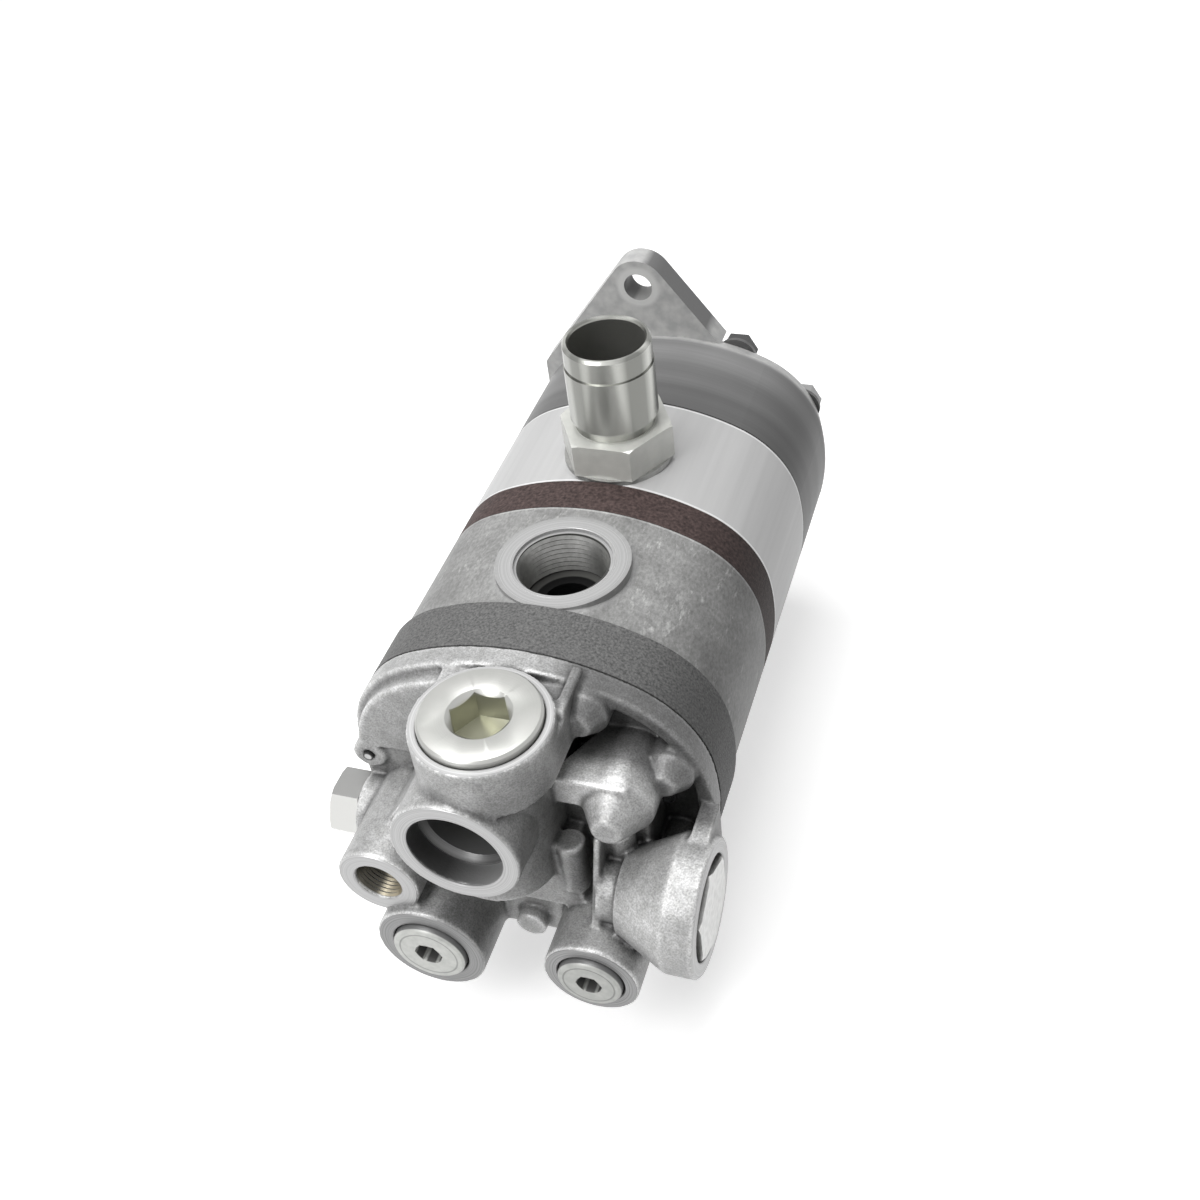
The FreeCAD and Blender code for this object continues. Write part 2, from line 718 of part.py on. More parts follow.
def make_cover():
    cover = section_body("rear_valve_cover", RING_END)
    add(cover, "floor", [oval("cast_margin")], "0", "cover_floor")
    add(cover, "left_block", [oval("cast_margin - left_block_inset")], "0", "left_block_height")
    clear_z = "(body_half_height + cast_margin)"
    clear_x = "(body_half_width + cast_margin)"
    beside = box("left_block_right", f"-{clear_z}", clear_x, clear_z)
    cut(cover, "right_of_block", [beside], "cover_floor", "left_block_height - cover_floor")
    below = box(f"-{clear_x}", f"-{clear_z}", "left_block_right", "left_ridge_z")
    cut(cover, "below_ridge", [below], "left_block_height - left_ridge_step", "left_ridge_step")
    add(cover, "rim", [oval("cast_margin"), oval("cast_margin - rim_width")], "0", "cover_rim")
    domed = [spot for spot in BOLT_PLACES if not spot[0].startswith("-")]
    for number, (x, y) in enumerate(domed, start=1):
        base = f"bolt_dome_{number}"
        add(cover, base, [circle(x, y, "bolt_dome_radius")], "0", "bolt_dome_height")
        add(cover, base + "_cap", [circle(x, y, "bolt_dome_radius")], "bolt_dome_height",
            "bolt_dome_cap", taper="-bolt_dome_slope")
    add_top_boss(cover)
    add(cover, "outlet_boss", [circle("outlet_x", "outlet_z", "outlet_boss_radius")],
        "top_boss_depth / 2", "outlet_reach - top_boss_depth / 2")
    add(cover, "small_boss", [circle("small_port_x", "small_port_z", "small_boss_radius")],
        "0", "small_port_reach")
    link = outline([("small_port_x", "small_port_z + small_boss_radius"),
                    ("small_port_x", "small_port_z - left_link_drop"),
                    ("1 - top_boss_radius", "-left_link_low"), ("1 - top_boss_radius", "left_link_top")])
    add(cover, "left_link", [link], "0", "top_boss_depth + left_link_rise")
    add(cover, "relief_boss", [circle("relief_x", "relief_z", "relief_boss_radius")],
        "lower_start", "lower_reach - lower_start")
    add(cover, "gallery_boss", [circle("gallery_x", "gallery_z", "gallery_boss_radius")],
        "lower_start", "lower_reach - lower_start")
    add_side_boss(cover)
    add_hump(cover)
    lower_web = box("lower_web_left", "lower_web_bottom", "lower_web_right", "lower_web_top")
    add(cover, "lower_web", [lower_web], "0", "lower_web_length")
    middle_web = outline([("0", "lower_web_top - 1"), ("lower_web_right", "lower_web_top - 1"),
                          ("top_boss_radius", "0"), ("0", "0")])
    add(cover, "middle_web", [middle_web], "0", "middle_web_length")
    add(cover, "lower_lug", [circle("lower_lug_x", "lower_lug_z", "lower_lug_radius")],
        "lower_web_length / 2", "lower_lug_length - lower_web_length / 2")
    add(cover, "left_pad", [circle("left_plug_z", "left_plug_depth", "left_pad_radius")],
        "-left_pad_reach", "left_pad_reach + small_port_x", "YZ")
    add(cover, "rim_lug", [circle("rim_pin_x", "rim_pin_z", "rim_lug_radius")], "0",
        "left_block_height")
    bore_cover(cover)
    return cover


def add_top_boss(cover):
    """The block under the top plug: wide at the top, and set back on the right below it."""
    wide = box("-top_boss_radius", "0", "top_boss_radius", "top_boss_depth")
    add(cover, "top_block", [wide], "top_block_low", "top_block_height - top_block_low", "XZ")
    add(cover, "top_boss", [circle("0", "top_boss_depth", "top_boss_radius")], "top_block_low",
        "top_boss_height - top_block_low", "XZ")
    narrow = box("-top_boss_radius", "0", "core_x + core_radius", "top_boss_depth")
    add(cover, "core_block", [narrow], "core_low", "top_block_low - core_low", "XZ")
    add(cover, "core_round", [circle("core_x", "top_boss_depth", "core_radius")], "core_low",
        "top_block_low - core_low", "XZ")
    rib = box("top_boss_radius - top_rib_width", "cover_floor",
              "top_boss_radius", "top_rib_reach + cover_rim")
    add(cover, "top_rib", [rib], "top_block_low", "top_rib_height - top_block_low", "XZ")


def add_side_boss(cover):
    """The valve's boss on the right: a round end, a cone, the bore's wall and a web to the rim."""
    add(cover, "side_boss", [circle("side_boss_z", "side_boss_depth", "side_boss_radius")],
        "side_boss_start", "side_boss_reach - side_boss_start", "YZ")
    cone = add(cover, "side_cone", [circle("side_boss_z", "side_boss_depth", "side_boss_radius")],
               "side_boss_start", "side_cone_length", "YZ", taper="-side_cone_slope")
    cone.Reversed = True
    tunnel_start = f"{VALVE_BORE_END} - tunnel_wall"
    tunnel = add(cover, "valve_tunnel",
                 [circle("side_boss_z", "side_boss_depth", "valve_bore_radius + tunnel_wall")],
                 tunnel_start, f"side_boss_start - ({tunnel_start})", "YZ")
    tunnel.Refine = False
    web = box("side_web_left", "side_web_bottom", "side_web_right", "side_web_top")
    add(cover, "side_web", [web], "cover_rim", "side_boss_depth - cover_rim")


def add_hump(cover):
    """The hump beside the block, its pointed end, the lumps under it and the fin in front."""
    add(cover, "hump", [circle("hump_x", "hump_z", "hump_radius")], "0", "hump_length")
    add(cover, "hump_tip", [circle("hump_x", "hump_z", "hump_radius")], "hump_length",
        "hump_tip_length", taper="-hump_tip_slope")
    wall = "core_x + core_radius - 1"
    top = outline([("hump_x + hump_right", "0"), ("hump_x - hump_left", "0"),
                   (wall, "hump_top_length - hump_top_step"), (wall, "hump_top_length"),
                   ("hump_x + hump_right", "hump_top_length")])
    add(cover, "hump_top", [top], "hump_z", "hump_radius - 1", "XZ")
    foot = box(wall, "side_boss_z", "hump_x + hump_foot_reach", "hump_z")
    add(cover, "hump_foot", [foot], "0", "hump_foot_length")
    for name in ("left_lump", "right_lump"):
        add(cover, name, [circle(name + "_x", name + "_depth", "lump_radius")], "lump_bottom",
            "lump_top - lump_bottom", "XZ")
    fin = outline([("fin_top", "0"), ("fin_top", "fin_top_length"), ("fin_bottom", "fin_bottom_length"),
                   ("fin_bottom", "0")])
    add(cover, "fin", [fin], "fin_x", "fin_thickness", "YZ")


def bore_cover(cover):
    cut(cover, "bolt_holes", [circle(x, y, "bolt_radius + bolt_clearance / 2") for x, y in BOLT_PLACES],
        "0", "bolt_engagement + 1")
    cut(cover, "dowel_holes", [circle(x, y, "dowel_radius + dowel_clearance") for x, y in DOWEL_PLACES],
        "0", "dowel_half_length")
    cut(cover, "top_seat", [circle("0", "top_boss_depth", "top_seat_radius")], "top_seat_height",
        "top_boss_height - top_seat_height", "XZ")
    cut(cover, "top_thread", [circle("0", "top_boss_depth", "port_thread_radius")],
        "top_seat_height - top_thread_length", "top_thread_length", "XZ")
    cut(cover, "top_passage", [circle("0", "top_boss_depth", "feed_radius")],
        "outlet_z", "top_seat_height - outlet_z", "XZ")
    cut(cover, "outlet_bore", [circle("outlet_x", "outlet_z", "outlet_bore_radius")],
        "outlet_reach - outlet_bore_length", "outlet_bore_length")
    inner = "outlet_bore_length + outlet_inner_length"
    cut(cover, "outlet_inner", [circle("outlet_x", "outlet_z", "outlet_inner_radius")],
        f"outlet_reach - ({inner})", inner)
    cut(cover, "small_thread", [circle("small_port_x", "small_port_z", "small_thread_radius")],
        "small_port_reach - small_thread_length", "small_thread_length")
    cut(cover, "small_feed", [circle("small_port_x", "small_port_z", "small_feed_radius")],
        "left_plug_depth - left_plug_radius", "small_port_reach - left_plug_depth + left_plug_radius")
    for name, x, y, radius in (("relief", "relief_x", "relief_z", "relief_seat_radius"),
                               ("gallery", "gallery_x", "gallery_z", "gallery_seat_radius")):
        cut(cover, name + "_seat", [circle(x, y, radius)], "lower_reach - lower_seat_drop",
            "lower_seat_drop")
    cut(cover, "relief_thread", [circle("relief_x", "relief_z", "relief_thread_radius")],
        "lower_reach - lower_seat_drop - relief_thread_length", "relief_thread_length")
    cut(cover, "relief_bore", [circle("relief_x", "relief_z", "relief_bore_radius + valve_clearance")],
        "lower_reach - lower_seat_drop - relief_bore_length", "relief_bore_length")
    bore = circle("gallery_x", "gallery_z", "gallery_plug_shank_radius + thread_fit")
    cut(cover, "gallery_thread", [bore],
        "lower_reach - lower_seat_drop - relief_thread_length", "relief_thread_length")
    cut(cover, "side_pocket", [circle("side_boss_z", "side_boss_depth", "side_pocket_radius")],
        "side_boss_reach - side_pocket_depth", "side_pocket_depth", "YZ")
    bottom = "side_boss_reach - side_pocket_depth - side_thread_length"
    cut(cover, "side_thread", [circle("side_boss_z", "side_boss_depth", "side_thread_radius + thread_fit")],
        bottom, "side_thread_length", "YZ")
    bore = circle("side_boss_z", "side_boss_depth", "valve_bore_radius + valve_clearance")
    cut(cover, "valve_bore", [bore], f"{bottom} - valve_bore_length + side_thread_length",
        "valve_bore_length - side_thread_length", "YZ")
    cut(cover, "left_hole", [circle("left_plug_z", "left_plug_depth", "left_plug_radius + thread_fit")],
        "-left_pad_reach", "left_plug_length + 1", "YZ")
    cut(cover, "left_spot_face", [circle("left_plug_z", "left_plug_depth", "left_spot_radius")],
        "-left_pad_reach - left_spot_depth", "left_spot_depth", "YZ")
    cut(cover, "rim_pin_hole", [circle("rim_pin_x", "rim_pin_z", "rim_pin_radius + dowel_clearance")],
        "left_block_height - rim_pin_length", "rim_pin_length")


# Shafts with their gears

def gear_outline(turned_by):
    """Involute outline of one gear, as a wire in its own XY plane."""
    teeth = int(round(size("gear_teeth")))
    pitch = size("tooth_module * gear_teeth / 2")
    pressure = math.radians(size("pressure_angle"))
    base = pitch * math.cos(pressure)
    tip = size(TIP_RADIUS)
    root = size("tooth_module * (gear_teeth / 2 - root_allowance)")
    half_tooth = math.pi / (2 * teeth) - size("tooth_backlash") / (4 * pitch)

    def roll(radius):
        angle = math.acos(min(1, base / radius))
        return math.tan(angle) - angle

    def at(radius, angle):
        return Vector(radius * math.cos(angle), radius * math.sin(angle), 0)

    steps = 5
    low = max(base, root)
    radii = [low + (tip - low) * step / steps for step in range(steps + 1)]
    edges = []
    for tooth in range(teeth):
        middle = turned_by + 2 * math.pi * tooth / teeth
        offsets = [half_tooth + roll(pitch) - roll(radius) for radius in radii]
        rising = [at(radius, middle - offset) for radius, offset in zip(radii, offsets)]
        falling = [at(radius, middle + offset) for radius, offset in zip(radii, offsets)][::-1]
        foot = at(root, middle - offsets[0])
        other_foot = at(root, middle + offsets[0])
        next_foot = at(root, middle + 2 * math.pi / teeth - offsets[0])
        gap_middle = at(root, middle + math.pi / teeth)
        edges.append(Part.LineSegment(foot, rising[0]).toShape())
        for points in (rising, falling):
            flank = Part.BSplineCurve()
            flank.interpolate(points)
            edges.append(flank.toShape())
            if points is rising:
                edges.append(Part.Arc(rising[-1], at(tip, middle), falling[0]).toShape())
        edges.append(Part.LineSegment(falling[-1], other_foot).toShape())
        edges.append(Part.Arc(other_foot, gap_middle, next_foot).toShape())
    return Part.Wire(Part.sortEdges(edges)[0])


def gear_solid(name, x, start, width, turned_by):
    gear = doc.addObject("Part::Feature", name + "_teeth")
    gear.Shape = Part.Face(gear_outline(turned_by)).extrude(Vector(0, 0, size(width)))
    place(gear, x, f"-({start})", "0", "-Y")
    return gear


def cut_splines(shaft):
    """Straight splines round the drive end, one groove repeated."""
    inner = "shaft_radius - spline_groove_depth"
    slot = box(inner, "-spline_groove_width / 2", "shaft_radius + 1", "spline_groove_width / 2")
    groove = cut(shaft, "spline_groove", [slot], "-shaft_reach", "spline_length")
    pattern = shaft.newObject("PartDesign::PolarPattern", shaft.Name + "_splines")
    pattern.Originals = [groove]
    pattern.Axis = (groove.Profile[0], ["N_Axis"])
    pattern.Angle = 360
    pattern.Occurrences = int(size("spline_count"))
    bind(pattern, "Occurrences", "spline_count")
    shaft.Tip = pattern


def make_gear_shaft(name, x, section_start, section_length, width, turned_by, front_end, rear_end):
    """One steel piece: journals with stepped ends, and the gear in the middle of its section."""
    shaft = new_body(name + "_shaft", x, "0", "0", "-Y")
    bodies.remove(shaft)
    profile = [("0", front_end[0])]
    for radius, depth in front_end[1]:
        profile.append((radius, depth))
    for radius, depth in rear_end[1]:
        profile.append((radius, depth))
    profile.append(("0", rear_end[0]))
    turn(shaft, "journals", profile)
    start = f"{section_start} + ({section_length} - {width}) / 2"
    gear = gear_solid(name, x, start, width, turned_by)
    whole = doc.addObject("Part::Fuse", name)
    whole.Label = name
    whole.Base = shaft
    whole.Tool = gear
    bodies.append(whole)
    return shaft


def make_shafts():
    meshed = math.pi + math.pi / size("gear_teeth")
    middle = f"({FRONT_END} + plate_length / 2)"
    stub = "sleeve_bore_radius - sleeve_clearance"
    drive = make_gear_shaft(
        "front_drive_gear", "0", FLANGE_END, "front_body_length", "front_gear_width", 0,
        ("-shaft_reach", [("shaft_radius - 1", "-shaft_reach"), ("shaft_radius", "1 - shaft_reach")]),
        (f"{middle} - sleeve_clearance", [("shaft_radius", FRONT_END), (stub, FRONT_END),
                                          (stub, f"{middle} - sleeve_clearance")]))
    cut_splines(drive)
    make_gear_shaft(
        "rear_drive_gear", "0", PLATE_END, "rear_body_length", "rear_gear_width", 0,
        (f"{middle} + sleeve_clearance", [(stub, f"{middle} + sleeve_clearance"), (stub, PLATE_END),
                                          ("shaft_radius", PLATE_END)]),
        (f"{REAR_END} - journal_gap", [("shaft_radius", f"{REAR_END} - journal_gap")]))
    for name, start, length, width in (
            ("front_driven_gear", FLANGE_END, "front_body_length", "front_gear_width"),
            ("rear_driven_gear", PLATE_END, "rear_body_length", "rear_gear_width")):
        low = f"{start} + journal_gap"
        high = f"{start} + {length} - journal_gap"
        make_gear_shaft(name, "gear_distance", start, length, width, meshed,
                        (low, [("shaft_radius", low)]), (high, [("shaft_radius", high)]))
    sleeve_start = f"{FRONT_END} + (plate_length - sleeve_length) / 2"
    sleeve = new_body("coupling_sleeve", "0", f"-({sleeve_start})", "0", "-Y")
    turn(sleeve, "tube", [("sleeve_bore_radius", "0"), ("sleeve_outer_radius", "0"),
                          ("sleeve_outer_radius", "sleeve_length"), ("sleeve_bore_radius", "sleeve_length")])


def make_bearing_blocks():
    """A pair of bushes in one block on each side of each gear pair."""
    sections = (("front", FLANGE_END, "front_body_length", "front_gear_width"),
                ("rear", PLATE_END, "rear_body_length", "rear_gear_width"))
    for section, start, length, width in sections:
        block_length = f"(({length} - {width}) / 2 - gear_side_clearance)"
        for side, from_start, pocket in (("near", "0", f"{block_length} - relief_pocket_depth"),
                                         ("far", f"{length} - {block_length}", "0")):
            block = section_body(f"{section}_bearing_block_{side}", f"{start} + {from_start}")
            for name, x in (("drive", DRIVE_X), ("driven", DRIVEN_X)):
                round_end = circle(x, "0", f"{GEAR_BORE} - block_clearance")
                add(block, name + "_round", [round_end], "0", block_length)
            for name, x in (("drive", DRIVE_X), ("driven", DRIVEN_X)):
                cut(block, name + "_bore", [circle(x, "0", "shaft_radius + bearing_clearance")],
                    "0", block_length)
            half = "relief_pocket_width / 2"
            reliefs = [box(f"-{half}", "relief_pocket_low", half, "relief_pocket_high"),
                       box(f"-{half}", "-relief_pocket_high", half, "-relief_pocket_low")]
            cut(block, "relief_pockets", reliefs, pocket, "relief_pocket_depth")


def make_shaft_fittings():
    """Seal, circlip and bush around the drive shaft in the flange's nose."""
    nose = "-pilot_length"
    clip_start = f"{nose} + circlip_depth"
    seal_start = f"{clip_start} + circlip_thickness"
    outer = "seal_outer_radius - dowel_clearance"
    lip = "shaft_radius + bearing_clearance"
    seal = new_body("shaft_seal", "0", f"-({seal_start})", "0", "-Y")
    turn(seal, "ring", [(lip, "seal_width / 2"), (f"{lip} + seal_lip", "0"), (outer, "0"),
                        (outer, "seal_width"), (f"{outer} - seal_lip", "seal_width"),
                        (f"{outer} - seal_lip", "seal_width / 2"),
                        (f"{lip} + seal_lip", "seal_width / 2"), (f"{lip} + seal_lip * 0.8", "seal_width"),
                        (lip, "seal_width - 1")])
    clip = new_body("seal_circlip", "0", f"-({clip_start})", "0", "-Y")
    clip_end = "circlip_thickness - dowel_clearance"
    inner = "seal_outer_radius - circlip_width"
    rim = "seal_outer_radius + circlip_groove - circlip_play"
    turn(clip, "ring", [(inner, "0"), (rim, "0"), (rim, clip_end), (inner, clip_end)])
    cut(clip, "gap", [box("-circlip_gap / 2", "0", "circlip_gap / 2", "seal_outer_radius + circlip_width")],
        "0", "circlip_thickness")
    bush_start = f"{seal_start} + seal_width + journal_gap"
    bush = new_body("nose_bush", "0", f"-({bush_start})", "0", "-Y")
    fit = "nose_bore_radius - 2 * dowel_clearance"
    turn(bush, "tube", [(lip, "0"), (fit, "0"), (fit, "bush_length"), (lip, "bush_length")])


def make_section_seals():
    """A moulded seal in the groove at the back of each section, round the gears and the gallery."""
    joints = (("flange_seal", FLANGE_END), ("front_body_seal", FRONT_END), ("plate_seal", PLATE_END),
              ("rear_body_seal", REAR_END), ("ring_seal", RING_END))
    for name, end in joints:
        seal = section_body(name, f"{end} - seal_groove_depth")
        seal.AllowCompound = True
        track = [obround("seal_track_radius - seal_cord_width / 2 + dowel_clearance"),
                 obround("seal_track_radius + seal_cord_width / 2 - dowel_clearance")]
        add(seal, "gear_track", track, "0", "seal_groove_depth")
        ring = [circle("0", "-gallery_drop", "gallery_radius"),
                circle("0", "-gallery_drop", "gallery_seal_radius - dowel_clearance")]
        add(seal, "gallery_ring", ring, "0", "seal_groove_depth")


def soften_corners(body, name, flats, top, amount):
    """Takes the corners off a hexagon's outer end, as turning does."""
    corner = f"({flats}) / sqrt(3)"
    turn(body, name, [(f"{corner} - {amount}", top), (f"{corner} + 1", top),
                      (f"{corner} + 1", f"{top} - ({amount} + 1) / 2")], "PartDesign::Groove")


# Hose tail, plugs and their seals

def make_hose_tail():
    tail = new_body("hose_tail", CENTRE_X, "-tail_depth", "0", "+Z")
    seat = "body_half_height - port_seat_drop"
    hexagon_low = f"{seat} + tail_seal_thickness"
    hexagon_top = f"{hexagon_low} + tail_hex_height"
    neck_top = f"{hexagon_top} + tail_neck_height"
    lip_low = "tail_top - tail_lip_length"
    shank = "tail_thread_radius - thread_fit"
    profile = [
        ("tail_bore_radius", f"{seat} - tail_thread_length"), (shank, f"{seat} - tail_thread_length"),
        (shank, hexagon_low), ("tail_neck_radius", hexagon_low), ("tail_neck_radius", neck_top),
        ("tail_tube_radius", f"{neck_top} + 1"), ("tail_tube_radius", f"{lip_low} - tail_groove_width"),
        ("tail_groove_radius", f"{lip_low} - tail_groove_width"), ("tail_groove_radius", lip_low),
        ("tail_lip_radius", lip_low), ("tail_lip_radius", "tail_top - 1"),
        ("tail_lip_radius - 0.7", "tail_top"), ("tail_bore_radius + 0.5", "tail_top"),
        ("tail_bore_radius", "tail_top - 1")]
    turn(tail, "tube", profile)
    add(tail, "hexagon", [hexagon("tail_flats"), circle("0", "0", "tail_bore_radius")],
        hexagon_low, "tail_hex_height")
    soften_corners(tail, "upper_corners", "tail_flats", hexagon_top, "hexagon_chamfer")


def make_plug(name, seat, facing, collar, collar_height, shank, shank_length, flats, depth):
    """A plug with a collar and a hexagon socket: its own Z runs out of the collar's face."""
    plug = new_body(name, *seat, facing)
    turn(plug, "turned", [
        ("0", f"-({shank_length})"), (f"{shank} - 1", f"-({shank_length})"),
        (shank, f"1 - ({shank_length})"),
        (shank, "0"), (collar, "0"), (collar, f"{collar_height} - collar_edge"),
        (f"{collar} - collar_edge", collar_height), ("0", collar_height)])
    cut(plug, "socket", [hexagon(flats)], f"{collar_height} - {depth}", depth)
    return plug


def make_seal_ring(name, seat, facing, inner, outer, thickness="seal_ring_thickness"):
    ring = new_body(name, *seat, facing)
    turn(ring, "ring", [(inner, "0"), (outer, "0"), (outer, thickness), (inner, thickness)])


def cover_point(x, depth, z):
    """Row place of a point given across, back from the cover's joint, and up."""
    return (f"gear_distance / 2 + {x}", f"-({RING_END} + {depth})", z)


def make_plugs():
    top_seat = cover_point("0", "top_boss_depth", "top_seat_height")
    make_seal_ring("top_plug_seal", top_seat, "+Z", "port_thread_radius + thread_fit",
                   "top_plug_collar_radius - seal_ring_inset")
    above = cover_point("0", "top_boss_depth", "top_seat_height + seal_ring_thickness")
    make_plug("top_plug", above, "+Z", "top_plug_collar_radius", "top_plug_collar_height",
              "port_thread_radius - thread_fit", "top_thread_length", "top_plug_socket_flats",
              "top_plug_socket_depth")
    lower = "lower_reach - lower_seat_drop"
    for name, shank in (("relief", "relief_thread_radius - thread_fit"),
                        ("gallery", "gallery_plug_shank_radius")):
        seat = cover_point(f"{name}_x", lower, f"{name}_z")
        make_seal_ring(f"{name}_plug_seal", seat, "-Y", f"{shank} + 2 * thread_fit",
                       f"{name}_plug_collar_radius - seal_ring_inset")
        outer = cover_point(f"{name}_x", f"{lower} + seal_ring_thickness", f"{name}_z")
        make_plug(f"{name}_plug", outer, "-Y", f"{name}_plug_collar_radius", "small_collar_height",
                  shank, "relief_thread_length - thread_runout", f"{name}_plug_socket_flats",
                  "small_socket_depth")
    tail_seat = (CENTRE_X, "-tail_depth", "body_half_height - port_seat_drop")
    make_seal_ring("hose_tail_seal", tail_seat, "+Z", "tail_thread_radius + thread_fit", "tail_seal_radius",
                   "tail_seal_thickness")


def make_left_plug():
    seat = cover_point("-left_pad_reach", "left_plug_depth", "left_plug_z")
    plug = new_body("left_hex_plug", *seat, "-X")
    turn(plug, "shank", [("0", "-left_plug_length"), ("left_plug_radius", "-left_plug_length"),
                         ("left_plug_radius", "1"), ("0", "1")])
    add(plug, "head", [hexagon("left_plug_flats", across_x=False)], "0", "left_plug_head")
    soften_corners(plug, "corners", "left_plug_flats", "left_plug_head", "hexagon_chamfer")


def make_valve_cap():
    floor = "side_boss_reach - side_pocket_depth"
    seat = cover_point(floor, "side_boss_depth", "side_boss_z")
    make_seal_ring("valve_cap_seal", seat, "+X", "side_thread_radius + 2 * thread_fit",
                   "side_thread_radius + cap_seal_width")
    outer = cover_point(f"{floor} + seal_ring_thickness", "side_boss_depth", "side_boss_z")
    cap = new_body("valve_cap", *outer, "+X")
    shank = "(side_thread_length - thread_runout)"
    turn(cap, "shank", [("0", f"-{shank}"), ("side_thread_radius", f"-{shank}"),
                        ("side_thread_radius", "1"), ("0", "1")])
    add(cap, "head", [hexagon("cap_flats")], "0", "cap_head_height")
    soften_corners(cap, "corners", "cap_flats", "cap_head_height", "hexagon_chamfer")
    cut(cap, "spring_cup", [circle("0", "0", "cap_cup_radius")], f"-{shank}", "cap_cup_depth")


# Valves inside the cover

def make_spring(name, seat, facing, length):
    helix = doc.addObject("Part::Helix", name + "_line")
    height = f"({length} - 2 * spring_wire_radius)"
    for key, text in (("Radius", "spring_coil_radius"), ("Height", height),
                      ("Pitch", f"{height} / spring_turns")):
        setattr(helix, key, size(text))
        bind(helix, key, text)
    section = doc.addObject("Part::RegularPolygon", name + "_section")
    section.Polygon = 6
    section.Circumradius = size("spring_wire_radius")
    bind(section, "Circumradius", "spring_wire_radius")
    coil_start = Vector(size("spring_coil_radius"), 0, 0)
    section.Placement = FreeCAD.Placement(coil_start, FACING["-Y"])
    bind(section, "Placement.Base.x", "spring_coil_radius")
    spring = doc.addObject("Part::Sweep", name)
    spring.Label = name
    spring.Sections = [section]
    spring.Spine = (helix, ["Edge1"])
    spring.Solid = True
    spring.Frenet = True
    place(spring, *seat, facing)
    bodies.append(spring)


def make_priority_valve():
    start = cover_point(f"{VALVE_BORE_END} + spool_start", "side_boss_depth", "side_boss_z")
    spool = new_body("priority_spool", *start, "+X")
    land = "valve_bore_radius"
    waist = "spool_waist_radius"
    turn(spool, "turned", [("0", "0"), (land, "0"), (land, "spool_land"), (waist, "spool_land"),
                           (waist, "spool_length - spool_land"), (land, "spool_length - spool_land"),
                           (land, "spool_length"), ("0", "spool_length")])
    spool_end = f"{VALVE_BORE_END} + spool_start + spool_length"
    cap_seat = "side_boss_reach - side_pocket_depth + seal_ring_thickness"
    cup_floor = f"{cap_seat} - side_thread_length + thread_runout + cap_cup_depth"
    begin = cover_point(f"{spool_end} + spring_wire_radius", "side_boss_depth", "side_boss_z")
    make_spring("spool_spring", begin, "+X", f"{cup_floor} - ({spool_end})")


def make_relief_valve():
    bottom = "(lower_reach - lower_seat_drop - relief_bore_length)"
    start = cover_point("relief_x", f"{bottom} + journal_gap", "relief_z")
    poppet = new_body("relief_poppet", *start, "-Y")
    turn(poppet, "turned", [("0", "0"), ("poppet_tip_radius", "0"),
                            ("relief_bore_radius", "poppet_cone_length"),
                            ("relief_bore_radius", "poppet_length"), ("0", "poppet_length")])
    end = f"{bottom} + journal_gap + poppet_length"
    face = "lower_reach - lower_seat_drop + seal_ring_thickness"
    plug_end = f"({face} - relief_thread_length + thread_runout)"
    begin = cover_point("relief_x", f"{end} + spring_wire_radius", "relief_z")
    make_spring("relief_spring", begin, "-Y", f"{plug_end} - ({end})")


# Fasteners

def make_group(name, pattern, shifts):
    """Equal pieces in one node: the pattern's solid repeated at each shift."""
    doc.recompute()
    copies = []
    for shift in shifts:
        copy = pattern.Shape.copy()
        copy.translate(Vector(*shift))
        copies.append(copy)
    group = doc.addObject("Part::Feature", name)
    group.Label = name
    group.Shape = Part.makeCompound(copies)
    bodies.append(group)


def make_fasteners():
    shifts = [(size(x), 0, size(z)) for x, z in BOLT_PLACES]
    seat = "(head_face_depth - washer_thickness)"
    bolt = section_body("bolt_pattern", "0")
    bodies.remove(bolt)
    end = f"{RING_END} + bolt_engagement"
    turn(bolt, "shank", [("0", seat), ("bolt_radius", seat), ("bolt_radius", end), ("0", end)])
    add(bolt, "head", [hexagon("bolt_head_flats")], f"{seat} - bolt_head_height", "bolt_head_height")
    make_group("through_bolts", bolt, shifts)
    washer = section_body("washer_pattern", seat)
    bodies.remove(washer)
    turn(washer, "ring", [("bolt_radius + bolt_clearance", "0"), ("washer_radius", "0"),
                          ("washer_radius", "washer_thickness"),
                          ("bolt_radius + bolt_clearance", "washer_thickness")])
    make_group("bolt_washers", washer, shifts)
    dowel = section_body("dowel_pattern", "0")
    bodies.remove(dowel)
    half = "(dowel_half_length - dowel_clearance)"
    turn(dowel, "pin", [("0", f"-{half}"), ("dowel_radius", f"-{half}"), ("dowel_radius", half),
                        ("0", half)])
    joints = [size(end) for end in (FLANGE_END, FRONT_END, PLATE_END, REAR_END, RING_END)]
    make_group("dowel_pins", dowel, [(size(x), -end, size(z)) for end in joints for x, z in DOWEL_PLACES])
    pin_start = cover_point("rim_pin_x", "left_block_height - rim_pin_length", "rim_pin_z")
    pin = new_body("rim_pin", *pin_start, "-Y")
    pin_top = "rim_pin_length + rim_pin_rise"
    turn(pin, "pin", [("0", "0"), ("rim_pin_radius", "0"), ("rim_pin_radius", pin_top), ("0", pin_top)])


make_mounting_flange()
make_front_body()
make_plate()
make_rear_body()
make_ring()
make_cover()
make_shafts()
make_bearing_blocks()
make_shaft_fittings()
make_section_seals()
make_hose_tail()
make_plugs()
make_left_plug()
make_valve_cap()
make_priority_valve()
make_relief_valve()
make_fasteners()
doc.recompute()

# Every feature is sound, and each one adds or removes what it should

for item in doc.Objects:
    if "Invalid" in item.State or "Error" in item.State:
        raise SystemExit(f"{item.Label} failed: {item.State}")

